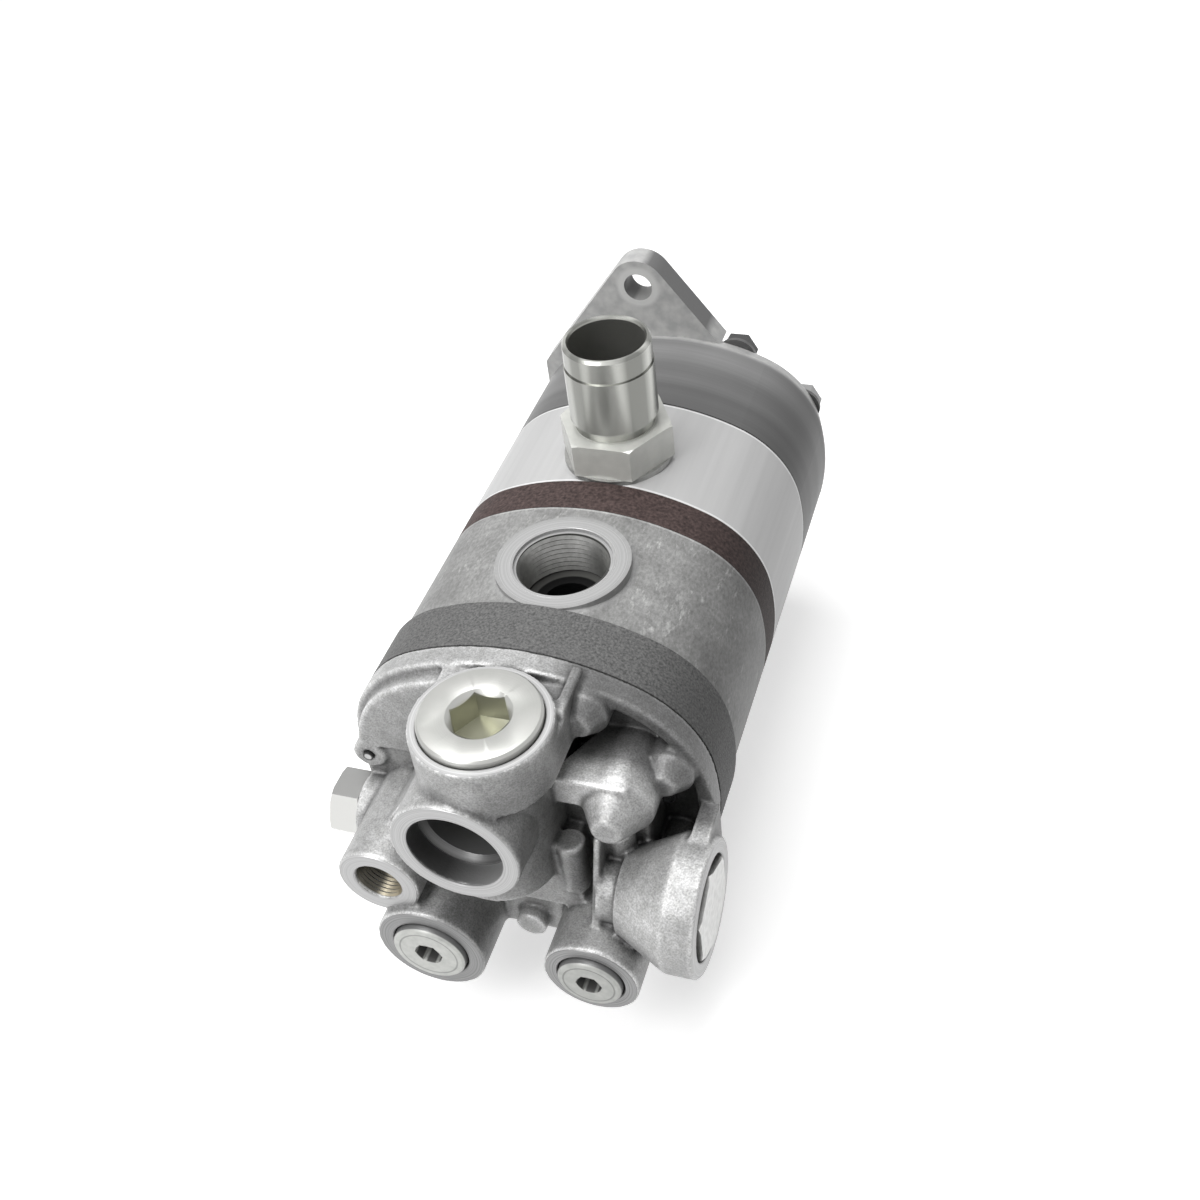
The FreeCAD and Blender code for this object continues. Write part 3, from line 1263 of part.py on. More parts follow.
for body in doc.findObjects("PartDesign::Body"):
    volume = 0
    for feature in body.Group:
        if not feature.isDerivedFrom("PartDesign::Feature"):
            continue
        before, volume = volume, feature.Shape.Volume
        removes = feature.TypeId in ("PartDesign::Pocket", "PartDesign::Groove", "PartDesign::PolarPattern")
        if removes and volume > before - 0.01:
            raise SystemExit(f"{feature.Name} removes nothing")
        if not removes and volume < before + 0.01:
            raise SystemExit(f"{feature.Name} adds nothing")

for body in bodies:
    shape = body.Shape
    if shape.isNull() or not shape.isValid() or not shape.Solids:
        raise SystemExit(f"{body.Label} has no valid solid")
    shape.exportStep(f"parts/{body.Label}.step")
    print(f"{body.Label}: {len(shape.Solids)} solid, {shape.Volume / 1000:.1f} cm3")
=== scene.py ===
import math

import bpy
from mathutils import Matrix, Vector


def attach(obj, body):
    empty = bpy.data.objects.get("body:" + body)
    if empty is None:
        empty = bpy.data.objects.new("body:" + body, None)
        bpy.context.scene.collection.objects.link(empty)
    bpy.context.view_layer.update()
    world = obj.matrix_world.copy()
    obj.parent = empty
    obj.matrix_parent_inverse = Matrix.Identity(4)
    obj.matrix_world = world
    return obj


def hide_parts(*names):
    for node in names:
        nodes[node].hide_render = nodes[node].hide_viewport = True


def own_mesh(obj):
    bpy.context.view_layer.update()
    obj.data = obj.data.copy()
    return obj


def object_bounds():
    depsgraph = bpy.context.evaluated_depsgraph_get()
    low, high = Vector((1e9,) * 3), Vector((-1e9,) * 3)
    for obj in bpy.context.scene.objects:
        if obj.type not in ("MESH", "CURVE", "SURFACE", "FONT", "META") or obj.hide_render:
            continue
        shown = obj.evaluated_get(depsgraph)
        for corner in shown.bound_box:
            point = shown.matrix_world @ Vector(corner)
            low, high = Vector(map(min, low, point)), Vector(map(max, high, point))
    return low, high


# Tandem gear pump with a rear valve cover, lying with its hose tail up

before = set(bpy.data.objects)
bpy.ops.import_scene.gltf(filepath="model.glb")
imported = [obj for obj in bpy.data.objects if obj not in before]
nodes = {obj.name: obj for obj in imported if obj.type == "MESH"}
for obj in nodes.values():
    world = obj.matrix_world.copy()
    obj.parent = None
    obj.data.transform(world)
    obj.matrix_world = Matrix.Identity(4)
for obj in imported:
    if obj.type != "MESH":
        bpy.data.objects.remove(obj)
cad_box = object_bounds()

# Places in metres, where the drive shaft's axis is x 0 and the pump's own middle lies beside it

MIDDLE_X = 0.014
COVER_JOINT_Y = -0.1959
PORT_Y = -0.152
PORT_FACE_Z = 0.0529
PORT_THREAD_Z = 0.0355
TAIL_Y = -0.088
EAR_HOLE_Z = 0.073

# Axes of the bosses that look back, in millimetres across and up

OUTLET_AXIS = (-5.5, 19.5)
SMALL_PORT_AXIS = (-40.9, -13.2)
RELIEF_AXIS = (-26.1, -41.7)
GALLERY_AXIS = (31.5, -38.5)

# The top plug, in millimetres back from the cover's joint and up

TOP_PLUG_DEPTH = 32
TOP_RIM_HEIGHT = 55.5
TOP_MOUTH_HEIGHT = 57.6

# Its face and socket in metres

TOP_FACE_Z = 0.0582
TOP_SOCKET_RADIUS = 0.0101

# Lower plugs: their boss's axis, radii of collar, face and socket in metres, and tone, which is
# lower on the gallery plug as painted shade

LOWER_PLUGS = (
    ("relief_plug", RELIEF_AXIS, 0.0134, 0.013, 0.0047, 0.95),
    ("gallery_plug", GALLERY_AXIS, 0.0114, 0.011, 0.0042, 0.8),
)

# Turns of a piece that is modelled about Z, so that it faces another way

FACING = {
    "+Z": (0, 0, 0),
    "-Y": (math.pi / 2, 0, 0),
    "+X": (0, math.pi / 2, 0),
}

# Sides of a turned piece, steps of one turn of thread, and the least turn of an edge to break

ROUND_SIDES = 96
COIL_STEPS = 48
SHARP_EDGE = math.radians(35)


def cover_place(x, depth, z):
    """A point on the rear cover, from millimetres across, back from its joint, and up."""
    return Vector((MIDDLE_X + x / 1000, COVER_JOINT_Y - depth / 1000, z / 1000))


def on_axis(axis, depth=0):
    """A point on a boss's axis, at that depth in millimetres."""
    across, up = axis
    return cover_place(across, depth, up)


# Camera

def make_camera():
    place = (0.167526, -0.485090, 0.366152)
    right = Vector((0.9475, 0.3029, -0.1024))
    down = Vector((0.1339, -0.6668, -0.7331))
    ahead = Vector((-0.2903, 0.6809, -0.6723))
    bpy.ops.object.camera_add()
    camera = bpy.context.active_object
    camera.name = "photo_camera"
    turn = Matrix((right, -down, -ahead)).transposed().to_4x4()
    camera.matrix_world = Matrix.Translation(place) @ turn
    camera.data.sensor_width = 36
    camera.data.lens = 43.04
    camera.data.clip_start = 0.01
    bpy.context.scene.camera = camera


# Colours and masks of a material

def grey(tone):
    return (tone, tone, tone)


def start_material(name, metallic, roughness, gloss=0.5):
    material = bpy.data.materials.new(name)
    material.use_nodes = True
    tree = material.node_tree
    shader = tree.nodes["Principled BSDF"]
    shader.inputs["Metallic"].default_value = metallic
    shader.inputs["Roughness"].default_value = roughness
    shader.inputs["Specular IOR Level"].default_value = gloss
    return material, tree, shader


def set_surface(tree, shader, colour, height=None, depth=0.0):
    """Links the colour and, where a height is given, a relief of that depth in metres."""
    tree.links.new(colour, shader.inputs["Base Color"])
    if height is None:
        return
    bump = tree.nodes.new("ShaderNodeBump")
    bump.inputs["Strength"].default_value = 1
    bump.inputs["Distance"].default_value = depth
    tree.links.new(height, bump.inputs["Height"])
    tree.links.new(bump.outputs["Normal"], shader.inputs["Normal"])


def grain(tree, size, detail=2.0, stretch=(1, 1, 1), rough=0.5):
    """Noise with grains of that size in metres, drawn out along the axes."""
    place = tree.nodes.new("ShaderNodeTexCoord")
    mapping = tree.nodes.new("ShaderNodeMapping")
    mapping.inputs["Scale"].default_value = [1 / (size * way) for way in stretch]
    noise = tree.nodes.new("ShaderNodeTexNoise")
    noise.inputs["Scale"].default_value = 1
    noise.inputs["Detail"].default_value = detail
    noise.inputs["Roughness"].default_value = rough
    tree.links.new(place.outputs["Object"], mapping.inputs["Vector"])
    tree.links.new(mapping.outputs["Vector"], noise.inputs["Vector"])
    return noise.outputs["Fac"]


def blend_colours(tree, factor, low_colour, high_colour, low=0.3, high=0.7):
    """The first colour up to the low factor, and the second from the high one on."""
    ramp = tree.nodes.new("ShaderNodeValToRGB")
    ramp.color_ramp.elements[0].position = low
    ramp.color_ramp.elements[0].color = (*low_colour, 1)
    ramp.color_ramp.elements[1].position = high
    ramp.color_ramp.elements[1].color = (*high_colour, 1)
    tree.links.new(factor, ramp.inputs["Fac"])
    return ramp.outputs["Color"]


def mix_colours(tree, factor, first, second, way="MIX"):
    """Mixes two colours, each a tuple or a socket, by a number or a socket."""
    mix = tree.nodes.new("ShaderNodeMix")
    mix.data_type = "RGBA"
    mix.blend_type = way
    for socket, value in ((mix.inputs[0], factor), (mix.inputs[6], first), (mix.inputs[7], second)):
        if isinstance(value, (float, int)):
            socket.default_value = value
        elif isinstance(value, tuple):
            socket.default_value = (*value, 1)
        else:
            tree.links.new(value, socket)
    return mix.outputs[2]


def scale_colour(tree, colour, scale):
    """The colour times another one."""
    return mix_colours(tree, 1.0, colour, scale, "MULTIPLY")


def between(tree, factor, low, high, to_low=0.0, to_high=1.0):
    """The factor's part from low to high, spread over the new range."""
    spread = tree.nodes.new("ShaderNodeMapRange")
    spread.inputs["From Min"].default_value = low
    spread.inputs["From Max"].default_value = high
    spread.inputs["To Min"].default_value = to_low
    spread.inputs["To Max"].default_value = to_high
    tree.links.new(factor, spread.inputs["Value"])
    return spread.outputs["Result"]


def within(tree, factor, full, gone):
    """One up to the first value, and nought from the second on."""
    return between(tree, factor, full, gone, 1.0, 0.0)


def both(tree, first, second):
    """Where both factors hold."""
    join = tree.nodes.new("ShaderNodeMath")
    join.operation = "MULTIPLY"
    tree.links.new(first, join.inputs[0])
    tree.links.new(second, join.inputs[1])
    return join.outputs["Value"]


def along(tree, axis):
    """The Object coordinate along one axis."""
    place = tree.nodes.new("ShaderNodeTexCoord")
    split = tree.nodes.new("ShaderNodeSeparateXYZ")
    tree.links.new(place.outputs["Object"], split.inputs["Vector"])
    return split.outputs[axis]


def facing_along(tree, axis):
    """How far the surface faces along one axis, from minus one to one."""
    shape = tree.nodes.new("ShaderNodeNewGeometry")
    split = tree.nodes.new("ShaderNodeSeparateXYZ")
    tree.links.new(shape.outputs["Normal"], split.inputs["Vector"])
    return split.outputs[axis]


def edges_and_hollows(tree, low, high):
    """Nought in hollows and one on edges, from the mesh's own shape."""
    shape = tree.nodes.new("ShaderNodeNewGeometry")
    return between(tree, shape.outputs["Pointiness"], low, high)


def reach_from(tree, centre, axis=None):
    """Distance in metres from a line along one axis, or from the point itself."""
    place = tree.nodes.new("ShaderNodeTexCoord")
    shift = tree.nodes.new("ShaderNodeVectorMath")
    shift.operation = "SUBTRACT"
    shift.inputs[1].default_value = centre
    keep = tree.nodes.new("ShaderNodeVectorMath")
    keep.operation = "MULTIPLY"
    keep.inputs[1].default_value = [0 if letter == axis else 1 for letter in "XYZ"]
    reach = tree.nodes.new("ShaderNodeVectorMath")
    reach.operation = "LENGTH"
    tree.links.new(place.outputs["Object"], shift.inputs[0])
    tree.links.new(shift.outputs["Vector"], keep.inputs[0])
    tree.links.new(keep.outputs["Vector"], reach.inputs[0])
    return reach.outputs["Value"]


def rings_round(tree, centre, axis, spacing):
    """Fine turning marks: noise that changes with the distance from an axis only."""
    noise = tree.nodes.new("ShaderNodeTexNoise")
    noise.noise_dimensions = "1D"
    noise.inputs["Scale"].default_value = 1 / spacing
    noise.inputs["Detail"].default_value = 2
    tree.links.new(reach_from(tree, centre, axis), noise.inputs["W"])
    return noise.outputs["Fac"]


def band(tree, value, middle, half_width):
    """One in a narrow band of the value, and nought outside it."""
    away = tree.nodes.new("ShaderNodeMath")
    away.operation = "COMPARE"
    away.inputs[1].default_value = middle
    away.inputs[2].default_value = half_width
    tree.links.new(value, away.inputs[0])
    return away.outputs["Value"]


def tone_near(tree, colour, centre, radius, tone, only=None):
    """Scales the colour in a soft round patch, or only in that part of it."""
    near = within(tree, reach_from(tree, centre), 0.6 * radius, radius)
    if only is not None:
        near = both(tree, near, only)
    return mix_colours(tree, near, colour, scale_colour(tree, colour, grey(tone)))


def painted_shade_side(tree, colour, tone, towards=1):
    """Painted shade: darkens the side that faces +X, or the side that faces -X where towards is -1.
    """
    side = between(tree, facing_along(tree, "X"), 0.3 * towards, 0.9 * towards)
    return mix_colours(tree, side, colour, scale_colour(tree, colour, grey(tone)))


def end_lines(tree, colour, dark_seams, painted_edge_highlights):
    """Lines round the pump, painted highlights along edges and dark seams at joints, each given by
    its middle's y and its half width in metres.
    """
    depth = along(tree, "Y")
    for middle, half_width in painted_edge_highlights:
        lit = scale_colour(tree, colour, grey(1.45))
        colour = mix_colours(tree, band(tree, depth, middle, half_width), colour, lit)
    for middle, half_width in dark_seams:
        colour = mix_colours(tree, band(tree, depth, middle, half_width), colour, grey(0.02))
    return colour


def shade_hollows(tree, colour, reach, darkest):
    """Painted shade: darkens the colour deep inside the casting's hollows."""
    hollow = tree.nodes.new("ShaderNodeAmbientOcclusion")
    hollow.samples = 8
    hollow.inputs["Distance"].default_value = reach
    shade = blend_colours(tree, hollow.outputs["AO"], grey(darkest), grey(1.0), 0.25, 0.8)
    return scale_colour(tree, colour, shade)


# Finishes, with painted light and shade

def make_flange_metal():
    """Grey turned barrel that grows lighter towards the front as a painted highlight, with painted
    shade on its +X side, and light cast ears, with painted shade on the upper ear's +X side and in
    its hole.
    """
    material, tree, shader = start_material("flange_metal", 0.1, 0.42, 0.2)
    depth = along(tree, "Y")
    lines = grain(tree, 0.0006, 3, (60, 1, 60))
    fine = blend_colours(tree, lines, grey(0.9), grey(1.0))
    soft = blend_colours(tree, grain(tree, 0.012, 1, (60, 1, 60)), grey(0.12), grey(0.19))
    barrel = scale_colour(tree, soft, fine)
    # Painted highlight: the barrel grows lighter towards its front end.
    towards_ears = between(tree, depth, -0.045, -0.013)
    painted_front_highlight = blend_colours(tree, towards_ears, grey(0.92), grey(1.7), 0.0, 1.0)
    barrel = scale_colour(tree, barrel, painted_front_highlight)
    light = blend_colours(tree, grain(tree, 0.004, 4), grey(0.4), (0.54, 0.54, 0.53))
    hole = reach_from(tree, (0, 0, EAR_HOLE_Z), "Y")
    light = mix_colours(tree, within(tree, hole, 0.0078, 0.0095), light, (0.62, 0.62, 0.61))
    # Painted shade inside the upper ear's hole.
    light = mix_colours(tree, within(tree, hole, 0.0057, 0.0059), light, (0.3, 0.3, 0.295))
    # Painted shade on the upper ear's side that faces +X.
    side = between(tree, facing_along(tree, "X"), 0.2, 0.45)
    painted_shade_flank = both(tree, side, between(tree, along(tree, "Z"), 0.054, 0.057))
    light = mix_colours(tree, painted_shade_flank, light, grey(0.17))
    front = between(tree, depth, -0.0145, -0.0125)
    # Painted shade on the barrel's side that faces +X.
    colour = mix_colours(tree, front, painted_shade_side(tree, barrel, 0.65), light)
    colour = end_lines(tree, colour, [(-0.057, 0.0003)], [])
    set_surface(tree, shader, colour, lines, 0.00002)
    return material


def make_front_aluminium():
    """Satin light grey, with a painted highlight along the edge at each end."""
    material, tree, shader = start_material("front_aluminium", 0.2, 0.4, 0.3)
    streaks = grain(tree, 0.003, 2, (1, 30, 1))
    colour = blend_colours(tree, streaks, grey(0.49), grey(0.53))
    dark_seams = [(-0.0572, 0.0002)]
    painted_edge_highlights = [(-0.0579, 0.0004), (-0.1077, 0.0005)]
    colour = end_lines(tree, colour, dark_seams, painted_edge_highlights)
    set_surface(tree, shader, colour, grain(tree, 0.0003, 2), 0.00001)
    return material


def make_brown_iron():
    material, tree, shader = start_material("brown_iron", 0.05, 0.65, 0.2)
    mottle = grain(tree, 0.0012, 5)
    colour = blend_colours(tree, mottle, (0.024, 0.016, 0.015), (0.1, 0.07, 0.066))
    # Painted shade on the side that faces +X.
    colour = painted_shade_side(tree, colour, 0.4)
    set_surface(tree, shader, colour, grain(tree, 0.0007, 4), 0.0002)
    return material


def make_rear_aluminium():
    """Worn mid grey with nicks and a scuffed patch, painted shade on its +X and -X sides and inside
    its port, a bright spot face round the port, and a painted highlight along its front edge.
    """
    material, tree, shader = start_material("rear_aluminium", 0.1, 0.42, 0.2)
    scratches = grain(tree, 0.0011, 6, (1, 1.6, 1), 0.65)
    worn = blend_colours(tree, grain(tree, 0.012, 5), (0.24, 0.24, 0.236), (0.37, 0.37, 0.365))
    worn = scale_colour(tree, worn,
                        blend_colours(tree, scratches, grey(0.7), grey(1.12), 0.35, 0.65))
    nicks = grain(tree, 0.0035, 6, (1, 2.5, 1), 0.7)
    worn = scale_colour(tree, worn, blend_colours(tree, nicks, grey(1.0), grey(1.7), 0.6, 0.68))
    scuffs = between(tree, grain(tree, 0.003, 6, (1, 3, 1), 0.7), 0.54, 0.62)
    scuffed_place = (MIDDLE_X + 0.033, PORT_Y - 0.009, 0.046)
    worn = tone_near(tree, worn, scuffed_place, 0.018, 1.55, scuffs)
    # Painted shade on the sides that face +X and -X.
    worn = painted_shade_side(tree, painted_shade_side(tree, worn, 0.6), 0.7, -1)
    port = (MIDDLE_X, PORT_Y, 0)
    reach = reach_from(tree, port, "Z")
    height = along(tree, "Z")
    spot_face = both(tree, between(tree, height, 0.045, 0.047), within(tree, reach, 0.0212, 0.0256))
    rings = rings_round(tree, port, "Z", 0.0003)
    colour = mix_colours(tree, spot_face, worn, blend_colours(tree, rings, grey(0.33), grey(0.47)))
    # Painted shade inside the port, and black painted shade in the feed bore below it.
    upper = between(tree, height, 0.0, 0.001)
    in_port = both(tree, upper, within(tree, reach, 0.0160, 0.0162))
    in_feed = both(tree, upper, within(tree, reach, 0.0122, 0.0128))
    colour = mix_colours(tree, in_port, colour, (0.09, 0.09, 0.085))
    colour = mix_colours(tree, in_feed, colour, grey(0.006))
    dark_seams = [(-0.1233, 0.0002), (-0.1754, 0.0002)]
    # A painted highlight along the body's front edge.
    painted_edge_highlights = [(-0.1239, 0.0004)]
    colour = end_lines(tree, colour, dark_seams, painted_edge_highlights)
    set_surface(tree, shader, colour, scratches, 0.00004)
    return material


def make_ring_iron():
    material, tree, shader = start_material("ring_iron", 0.1, 0.6, 0.25)
    mottle = grain(tree, 0.0008, 4)
    colour = blend_colours(tree, mottle, grey(0.065), (0.18, 0.18, 0.178))
    # Painted shade on the side that faces +X.
    colour = painted_shade_side(tree, colour, 0.65)
    set_surface(tree, shader, colour, grain(tree, 0.0007, 3), 0.00025)
    return material


def make_die_cast():
    """Pale die casting with a fine grain: lighter on its edges, partly worn and partly a painted
    highlight, painted shade in its hollows, and patches of painted light and shade.
    """
    material, tree, shader = start_material("die_cast", 0.3, 0.4)
    colour = blend_colours(tree, grain(tree, 0.007, 3), grey(0.4), grey(0.5))
    speckle = blend_colours(tree, grain(tree, 0.0006, 4), grey(0.72), grey(1.15), 0.35, 0.65)
    colour = scale_colour(tree, colour, speckle)
    stains = grain(tree, 0.0022, 6, rough=0.65)
    colour = scale_colour(tree, colour,
                          blend_colours(tree, stains, (0.82, 0.82, 0.81), grey(1.0), 0.4, 0.6))
    # Edges lighter, partly worn metal and partly painted highlight; hollows darker as painted
    # shade.
    shape = edges_and_hollows(tree, 0.45, 0.55)
    edge_wear_highlight_and_shade = blend_colours(tree, shape, grey(0.38), grey(1.55), 0.15, 0.9)
    colour = scale_colour(tree, colour, edge_wear_highlight_and_shade)
    colour = shade_hollows(tree, colour, 0.005, 0.3)
    across = along(tree, "X")
    depth = along(tree, "Y")
    # Painted shade on the cover's right part next to its joint.
    rim = both(tree, between(tree, across, MIDDLE_X + 0.006, MIDDLE_X + 0.022),
               between(tree, depth, COVER_JOINT_Y - 0.022, COVER_JOINT_Y - 0.016))
    colour = mix_colours(tree, rim, colour, scale_colour(tree, colour, grey(0.36)))

    # Patches of painted light, tone above one, and painted shade, tone below one. Each patch:
    # millimetres across, back and up, its radius in metres, its tone, and its part
    right_side = between(tree, facing_along(tree, "X"), 0.1, 0.4)
    painted_light_and_shade_patches = (
        ((26, 32, -6), 0.014, 0.65, None),
        ((10, 45, 22), 0.036, 0.6, right_side),
        ((27, 22, 26), 0.015, 1.7, None),
        ((56, 42, -12), 0.018, 1.4, None),
        ((-14, 50, -34), 0.018, 0.55, None),
    )
    for place, radius, tone, only in painted_light_and_shade_patches:
        colour = tone_near(tree, colour, cover_place(*place), radius, tone, only)

    # Painted shade in the outlet's bore: near black on its left, grey on its right.
    outlet = on_axis(OUTLET_AXIS)
    in_outlet = both(tree, within(tree, reach_from(tree, outlet, "Y"), 0.0159, 0.0161),
                     between(tree, depth, COVER_JOINT_Y - 0.03, COVER_JOINT_Y - 0.032))
    to_the_right = between(tree, across, outlet.x - 0.012, outlet.x + 0.014)
    bore = blend_colours(tree, to_the_right, grey(0.07), grey(0.36), 0.2, 0.9)
    colour = mix_colours(tree, in_outlet, colour, bore)
    set_surface(tree, shader, colour, grain(tree, 0.0009, 4), 0.00012)
    return material


def make_machined(name, centre, axis, low=0.39, high=0.52):
    """Faced casting metal with fine turning marks."""
    material, tree, shader = start_material(name, 0.5, 0.36)
    marks = rings_round(tree, centre, axis, 0.0005)
    set_surface(tree, shader, blend_colours(tree, marks, grey(low), grey(high)), marks, 0.00002)
    return material


def make_plug_zinc(name, centre, face_radius, socket_radius, tone):
    """Zinc plate with a faint warm tint, painted shade on the side of the proud collar, and painted
    shade in the socket.
    """
    material, tree, shader = start_material(name, 0.5, 0.4)
    duller = tuple(tone * part for part in (0.46, 0.47, 0.45))
    brighter = tuple(tone * part for part in (0.58, 0.585, 0.56))
    colour = blend_colours(tree, grain(tree, 0.003, 5), duller, brighter)
    reach = reach_from(tree, centre, "Y")
    # Painted shade on the collar's side.
    side = between(tree, reach, face_radius - 0.0002, face_radius)
    colour = mix_colours(tree, side, colour, grey(0.2))
    shoulder = band(tree, reach, 0.8 * face_radius, 0.0003)
    colour = mix_colours(tree, shoulder, colour, scale_colour(tree, colour, grey(0.6)))
    # Painted shade in the socket.
    in_socket = within(tree, reach, socket_radius, socket_radius + 0.0002)
    colour = mix_colours(tree, in_socket, colour, (0.1, 0.1, 0.098))
    set_surface(tree, shader, colour, rings_round(tree, centre, "Y", 0.0005), 0.000015)
    return material


def make_hexagon_zinc(name, centre, axis):
    """Zinc plate on a hexagon: painted shade makes the upper facets grey, and a painted reflection
    makes the others bright.
    """
    material, tree, shader = start_material(name, 0.5, 0.32)
    # Painted light by facing: grey as painted shade upward, bright as a painted reflection
    # elsewhere.
    upper = between(tree, facing_along(tree, "Z"), 0.6, 0.8)
    colour = mix_colours(tree, upper, (0.72, 0.72, 0.7), (0.28, 0.28, 0.275))
    set_surface(tree, shader, colour, rings_round(tree, centre, axis, 0.0005), 0.000015)
    return material


def make_top_zinc(centre, socket_radius, face_height):
    """The top plug's zinc, olive and duller inside the socket."""
    material, tree, shader = start_material("top_plug_zinc", 0.7, 0.28)
    plate = blend_colours(tree, grain(tree, 0.008, 2), (0.45, 0.455, 0.435), (0.49, 0.49, 0.472))
    reach = reach_from(tree, centre, "Z")
    inside = within(tree, reach, socket_radius, socket_radius + 0.0004)
    under = between(tree, along(tree, "Z"), face_height - 0.0012, face_height - 0.0022)
    colour = mix_colours(tree, both(tree, inside, under), plate, (0.4, 0.4, 0.32))
    set_surface(tree, shader, colour, rings_round(tree, centre, "Z", 0.0005), 0.000015)
    return material


def make_tail_zinc(centre, bore_radius, hexagon_top):
    """The hose tail: broad soft bands down the tube, partly drawn streaks and partly painted
    reflection, a plain satin hexagon, and painted shade in its bore.
    """
    material, tree, shader = start_material("hose_tail_zinc", 0.8, 0.27)
    on_tube = between(tree, along(tree, "Z"), hexagon_top, hexagon_top + 0.0005)
    # Broad light and dark bands down the tube: partly drawn streaks, partly painted reflection.
    streaks = grain(tree, 0.011, 1, (1, 1, 60))
    tube = blend_colours(tree, streaks, (0.22, 0.223, 0.208), (0.63, 0.635, 0.6), 0.4, 0.6)
    mottle = grain(tree, 0.005, 3)
    hexagon = blend_colours(tree, mottle, (0.56, 0.565, 0.535), (0.64, 0.645, 0.61))
    colour = mix_colours(tree, on_tube, hexagon, tube)
    reach = reach_from(tree, centre, "Z")
    # Painted shade in the bore.
    in_bore = within(tree, reach, bore_radius, bore_radius + 0.0003)
    colour = mix_colours(tree, in_bore, colour, (0.34, 0.34, 0.32))
    tree.links.new(between(tree, on_tube, 0, 1, 0.15, 0.8), shader.inputs["Metallic"])
    set_surface(tree, shader, colour, rings_round(tree, centre, "Z", 0.0006), 0.00001)
    return material


def make_steel(name, colour, roughness):
    """Bare metal with faint darker spots."""
    material, tree, shader = start_material(name, 0.85, roughness)
    darker = tuple(0.75 * part for part in colour)
    spotted = blend_colours(tree, grain(tree, 0.002, 4), darker, colour)
    set_surface(tree, shader, spotted, grain(tree, 0.0004, 2), 0.00001)
    return material


def make_thread_brass(centre):
    """Thread painted dark as shade, with its brass tint shown as a painted glint only on its lower
    right side.
    """
    material, tree, shader = start_material("small_thread_brass", 0.7, 0.35)
    # A painted glint of brass on the lower right, painted shade elsewhere.
    right = between(tree, along(tree, "X"), centre.x - 0.003, centre.x + 0.004)
    low = within(tree, along(tree, "Z"), centre.z - 0.004, centre.z + 0.003)
    colour = mix_colours(tree, both(tree, right, low), (0.07, 0.065, 0.052), (0.52, 0.46, 0.34))
    set_surface(tree, shader, colour)
    return material


def make_bolt_steel():
    """Dark heads on the two upper bolts, and worn grey ones lower down."""
    material, tree, shader = start_material("bolt_steel", 0.5, 0.4)
    upper = between(tree, along(tree, "Z"), 0.03, 0.032)
    set_surface(tree, shader, mix_colours(tree, upper, grey(0.34), grey(0.06)))
    return material


def make_pin_steel(centre, bright_radius):
    """A bright pin end in a ring of painted shade."""
    material, tree, shader = start_material("pin_steel", 0.6, 0.35)
    # Painted shade in the hole round the pin.
    ring = between(tree, reach_from(tree, centre, "Y"), bright_radius, bright_radius + 0.0004)
    set_surface(tree, shader, mix_colours(tree, ring, grey(0.6), grey(0.05)))
    return material


def make_rubber():
    material, tree, shader = start_material("seal_rubber", 0.0, 0.6)
    set_surface(tree, shader, blend_colours(tree, grain(tree, 0.003, 3), grey(0.012), grey(0.03)))
    return material


# Modelling tools

def clear_selection():
    for other in bpy.context.selected_objects:
        other.select_set(False)


def pick(piece):
    clear_selection()
    piece.select_set(True)
    bpy.context.view_layer.objects.active = piece


def give_finish(piece, finish):
    piece.data.materials.clear()
    piece.data.materials.append(finish)


def smooth_below(degrees):
    """Smooth shading of the picked piece, but for edges that turn by more than that."""
    bpy.ops.object.shade_smooth_by_angle(angle=math.radians(degrees))


def apply_modifier(piece, kind, **settings):
    pick(piece)
    modifier = piece.modifiers.new(kind.lower(), kind)
    for name, value in settings.items():
        setattr(modifier, name, value)
    bpy.ops.object.modifier_apply(modifier=modifier.name)


def break_edges(piece, width):
    """Bevels the sharp edges, and shades the rest smooth."""
    apply_modifier(piece, "BEVEL", width=width, segments=2, angle_limit=SHARP_EDGE)
    smooth_below(25)


def cut_away(piece, tool):
    """Takes the tool's shape out of the piece, and the tool goes."""
    apply_modifier(piece, "BOOLEAN", operation="DIFFERENCE", solver="EXACT", object=tool)
    bpy.data.objects.remove(tool)


def copy_of(name, new_name):
    """A merged copy of a CAD node's mesh, as a new piece."""
    piece = bpy.data.objects.new(new_name, nodes[name].data.copy())
    bpy.context.scene.collection.objects.link(piece)
    pick(piece)
    bpy.ops.object.mode_set(mode="EDIT")
    bpy.ops.mesh.select_all(action="SELECT")
    bpy.ops.mesh.remove_doubles(threshold=0.000002)
    bpy.ops.object.mode_set(mode="OBJECT")
    return piece


def edit_points(piece, chosen):
    """Opens the piece in edit mode with the points selected that the test chooses."""
    pick(piece)
    bpy.ops.object.mode_set(mode="EDIT")
    bpy.ops.mesh.select_mode(type="VERT")
    bpy.ops.mesh.select_all(action="DESELECT")
    bpy.ops.object.mode_set(mode="OBJECT")
    for vertex in piece.data.vertices:
        vertex.select = chosen(vertex.co)
    bpy.ops.object.mode_set(mode="EDIT")


def fix_in_place(piece, place, facing, smooth_angle, finish):
    """Turns and moves the picked piece to its place, and leaves its object at the origin."""
    piece.rotation_euler = FACING[facing]
    piece.location = place
    bpy.ops.object.transform_apply(location=True, rotation=True)
    smooth_below(smooth_angle)
    give_finish(piece, finish)
    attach(piece, "housing")


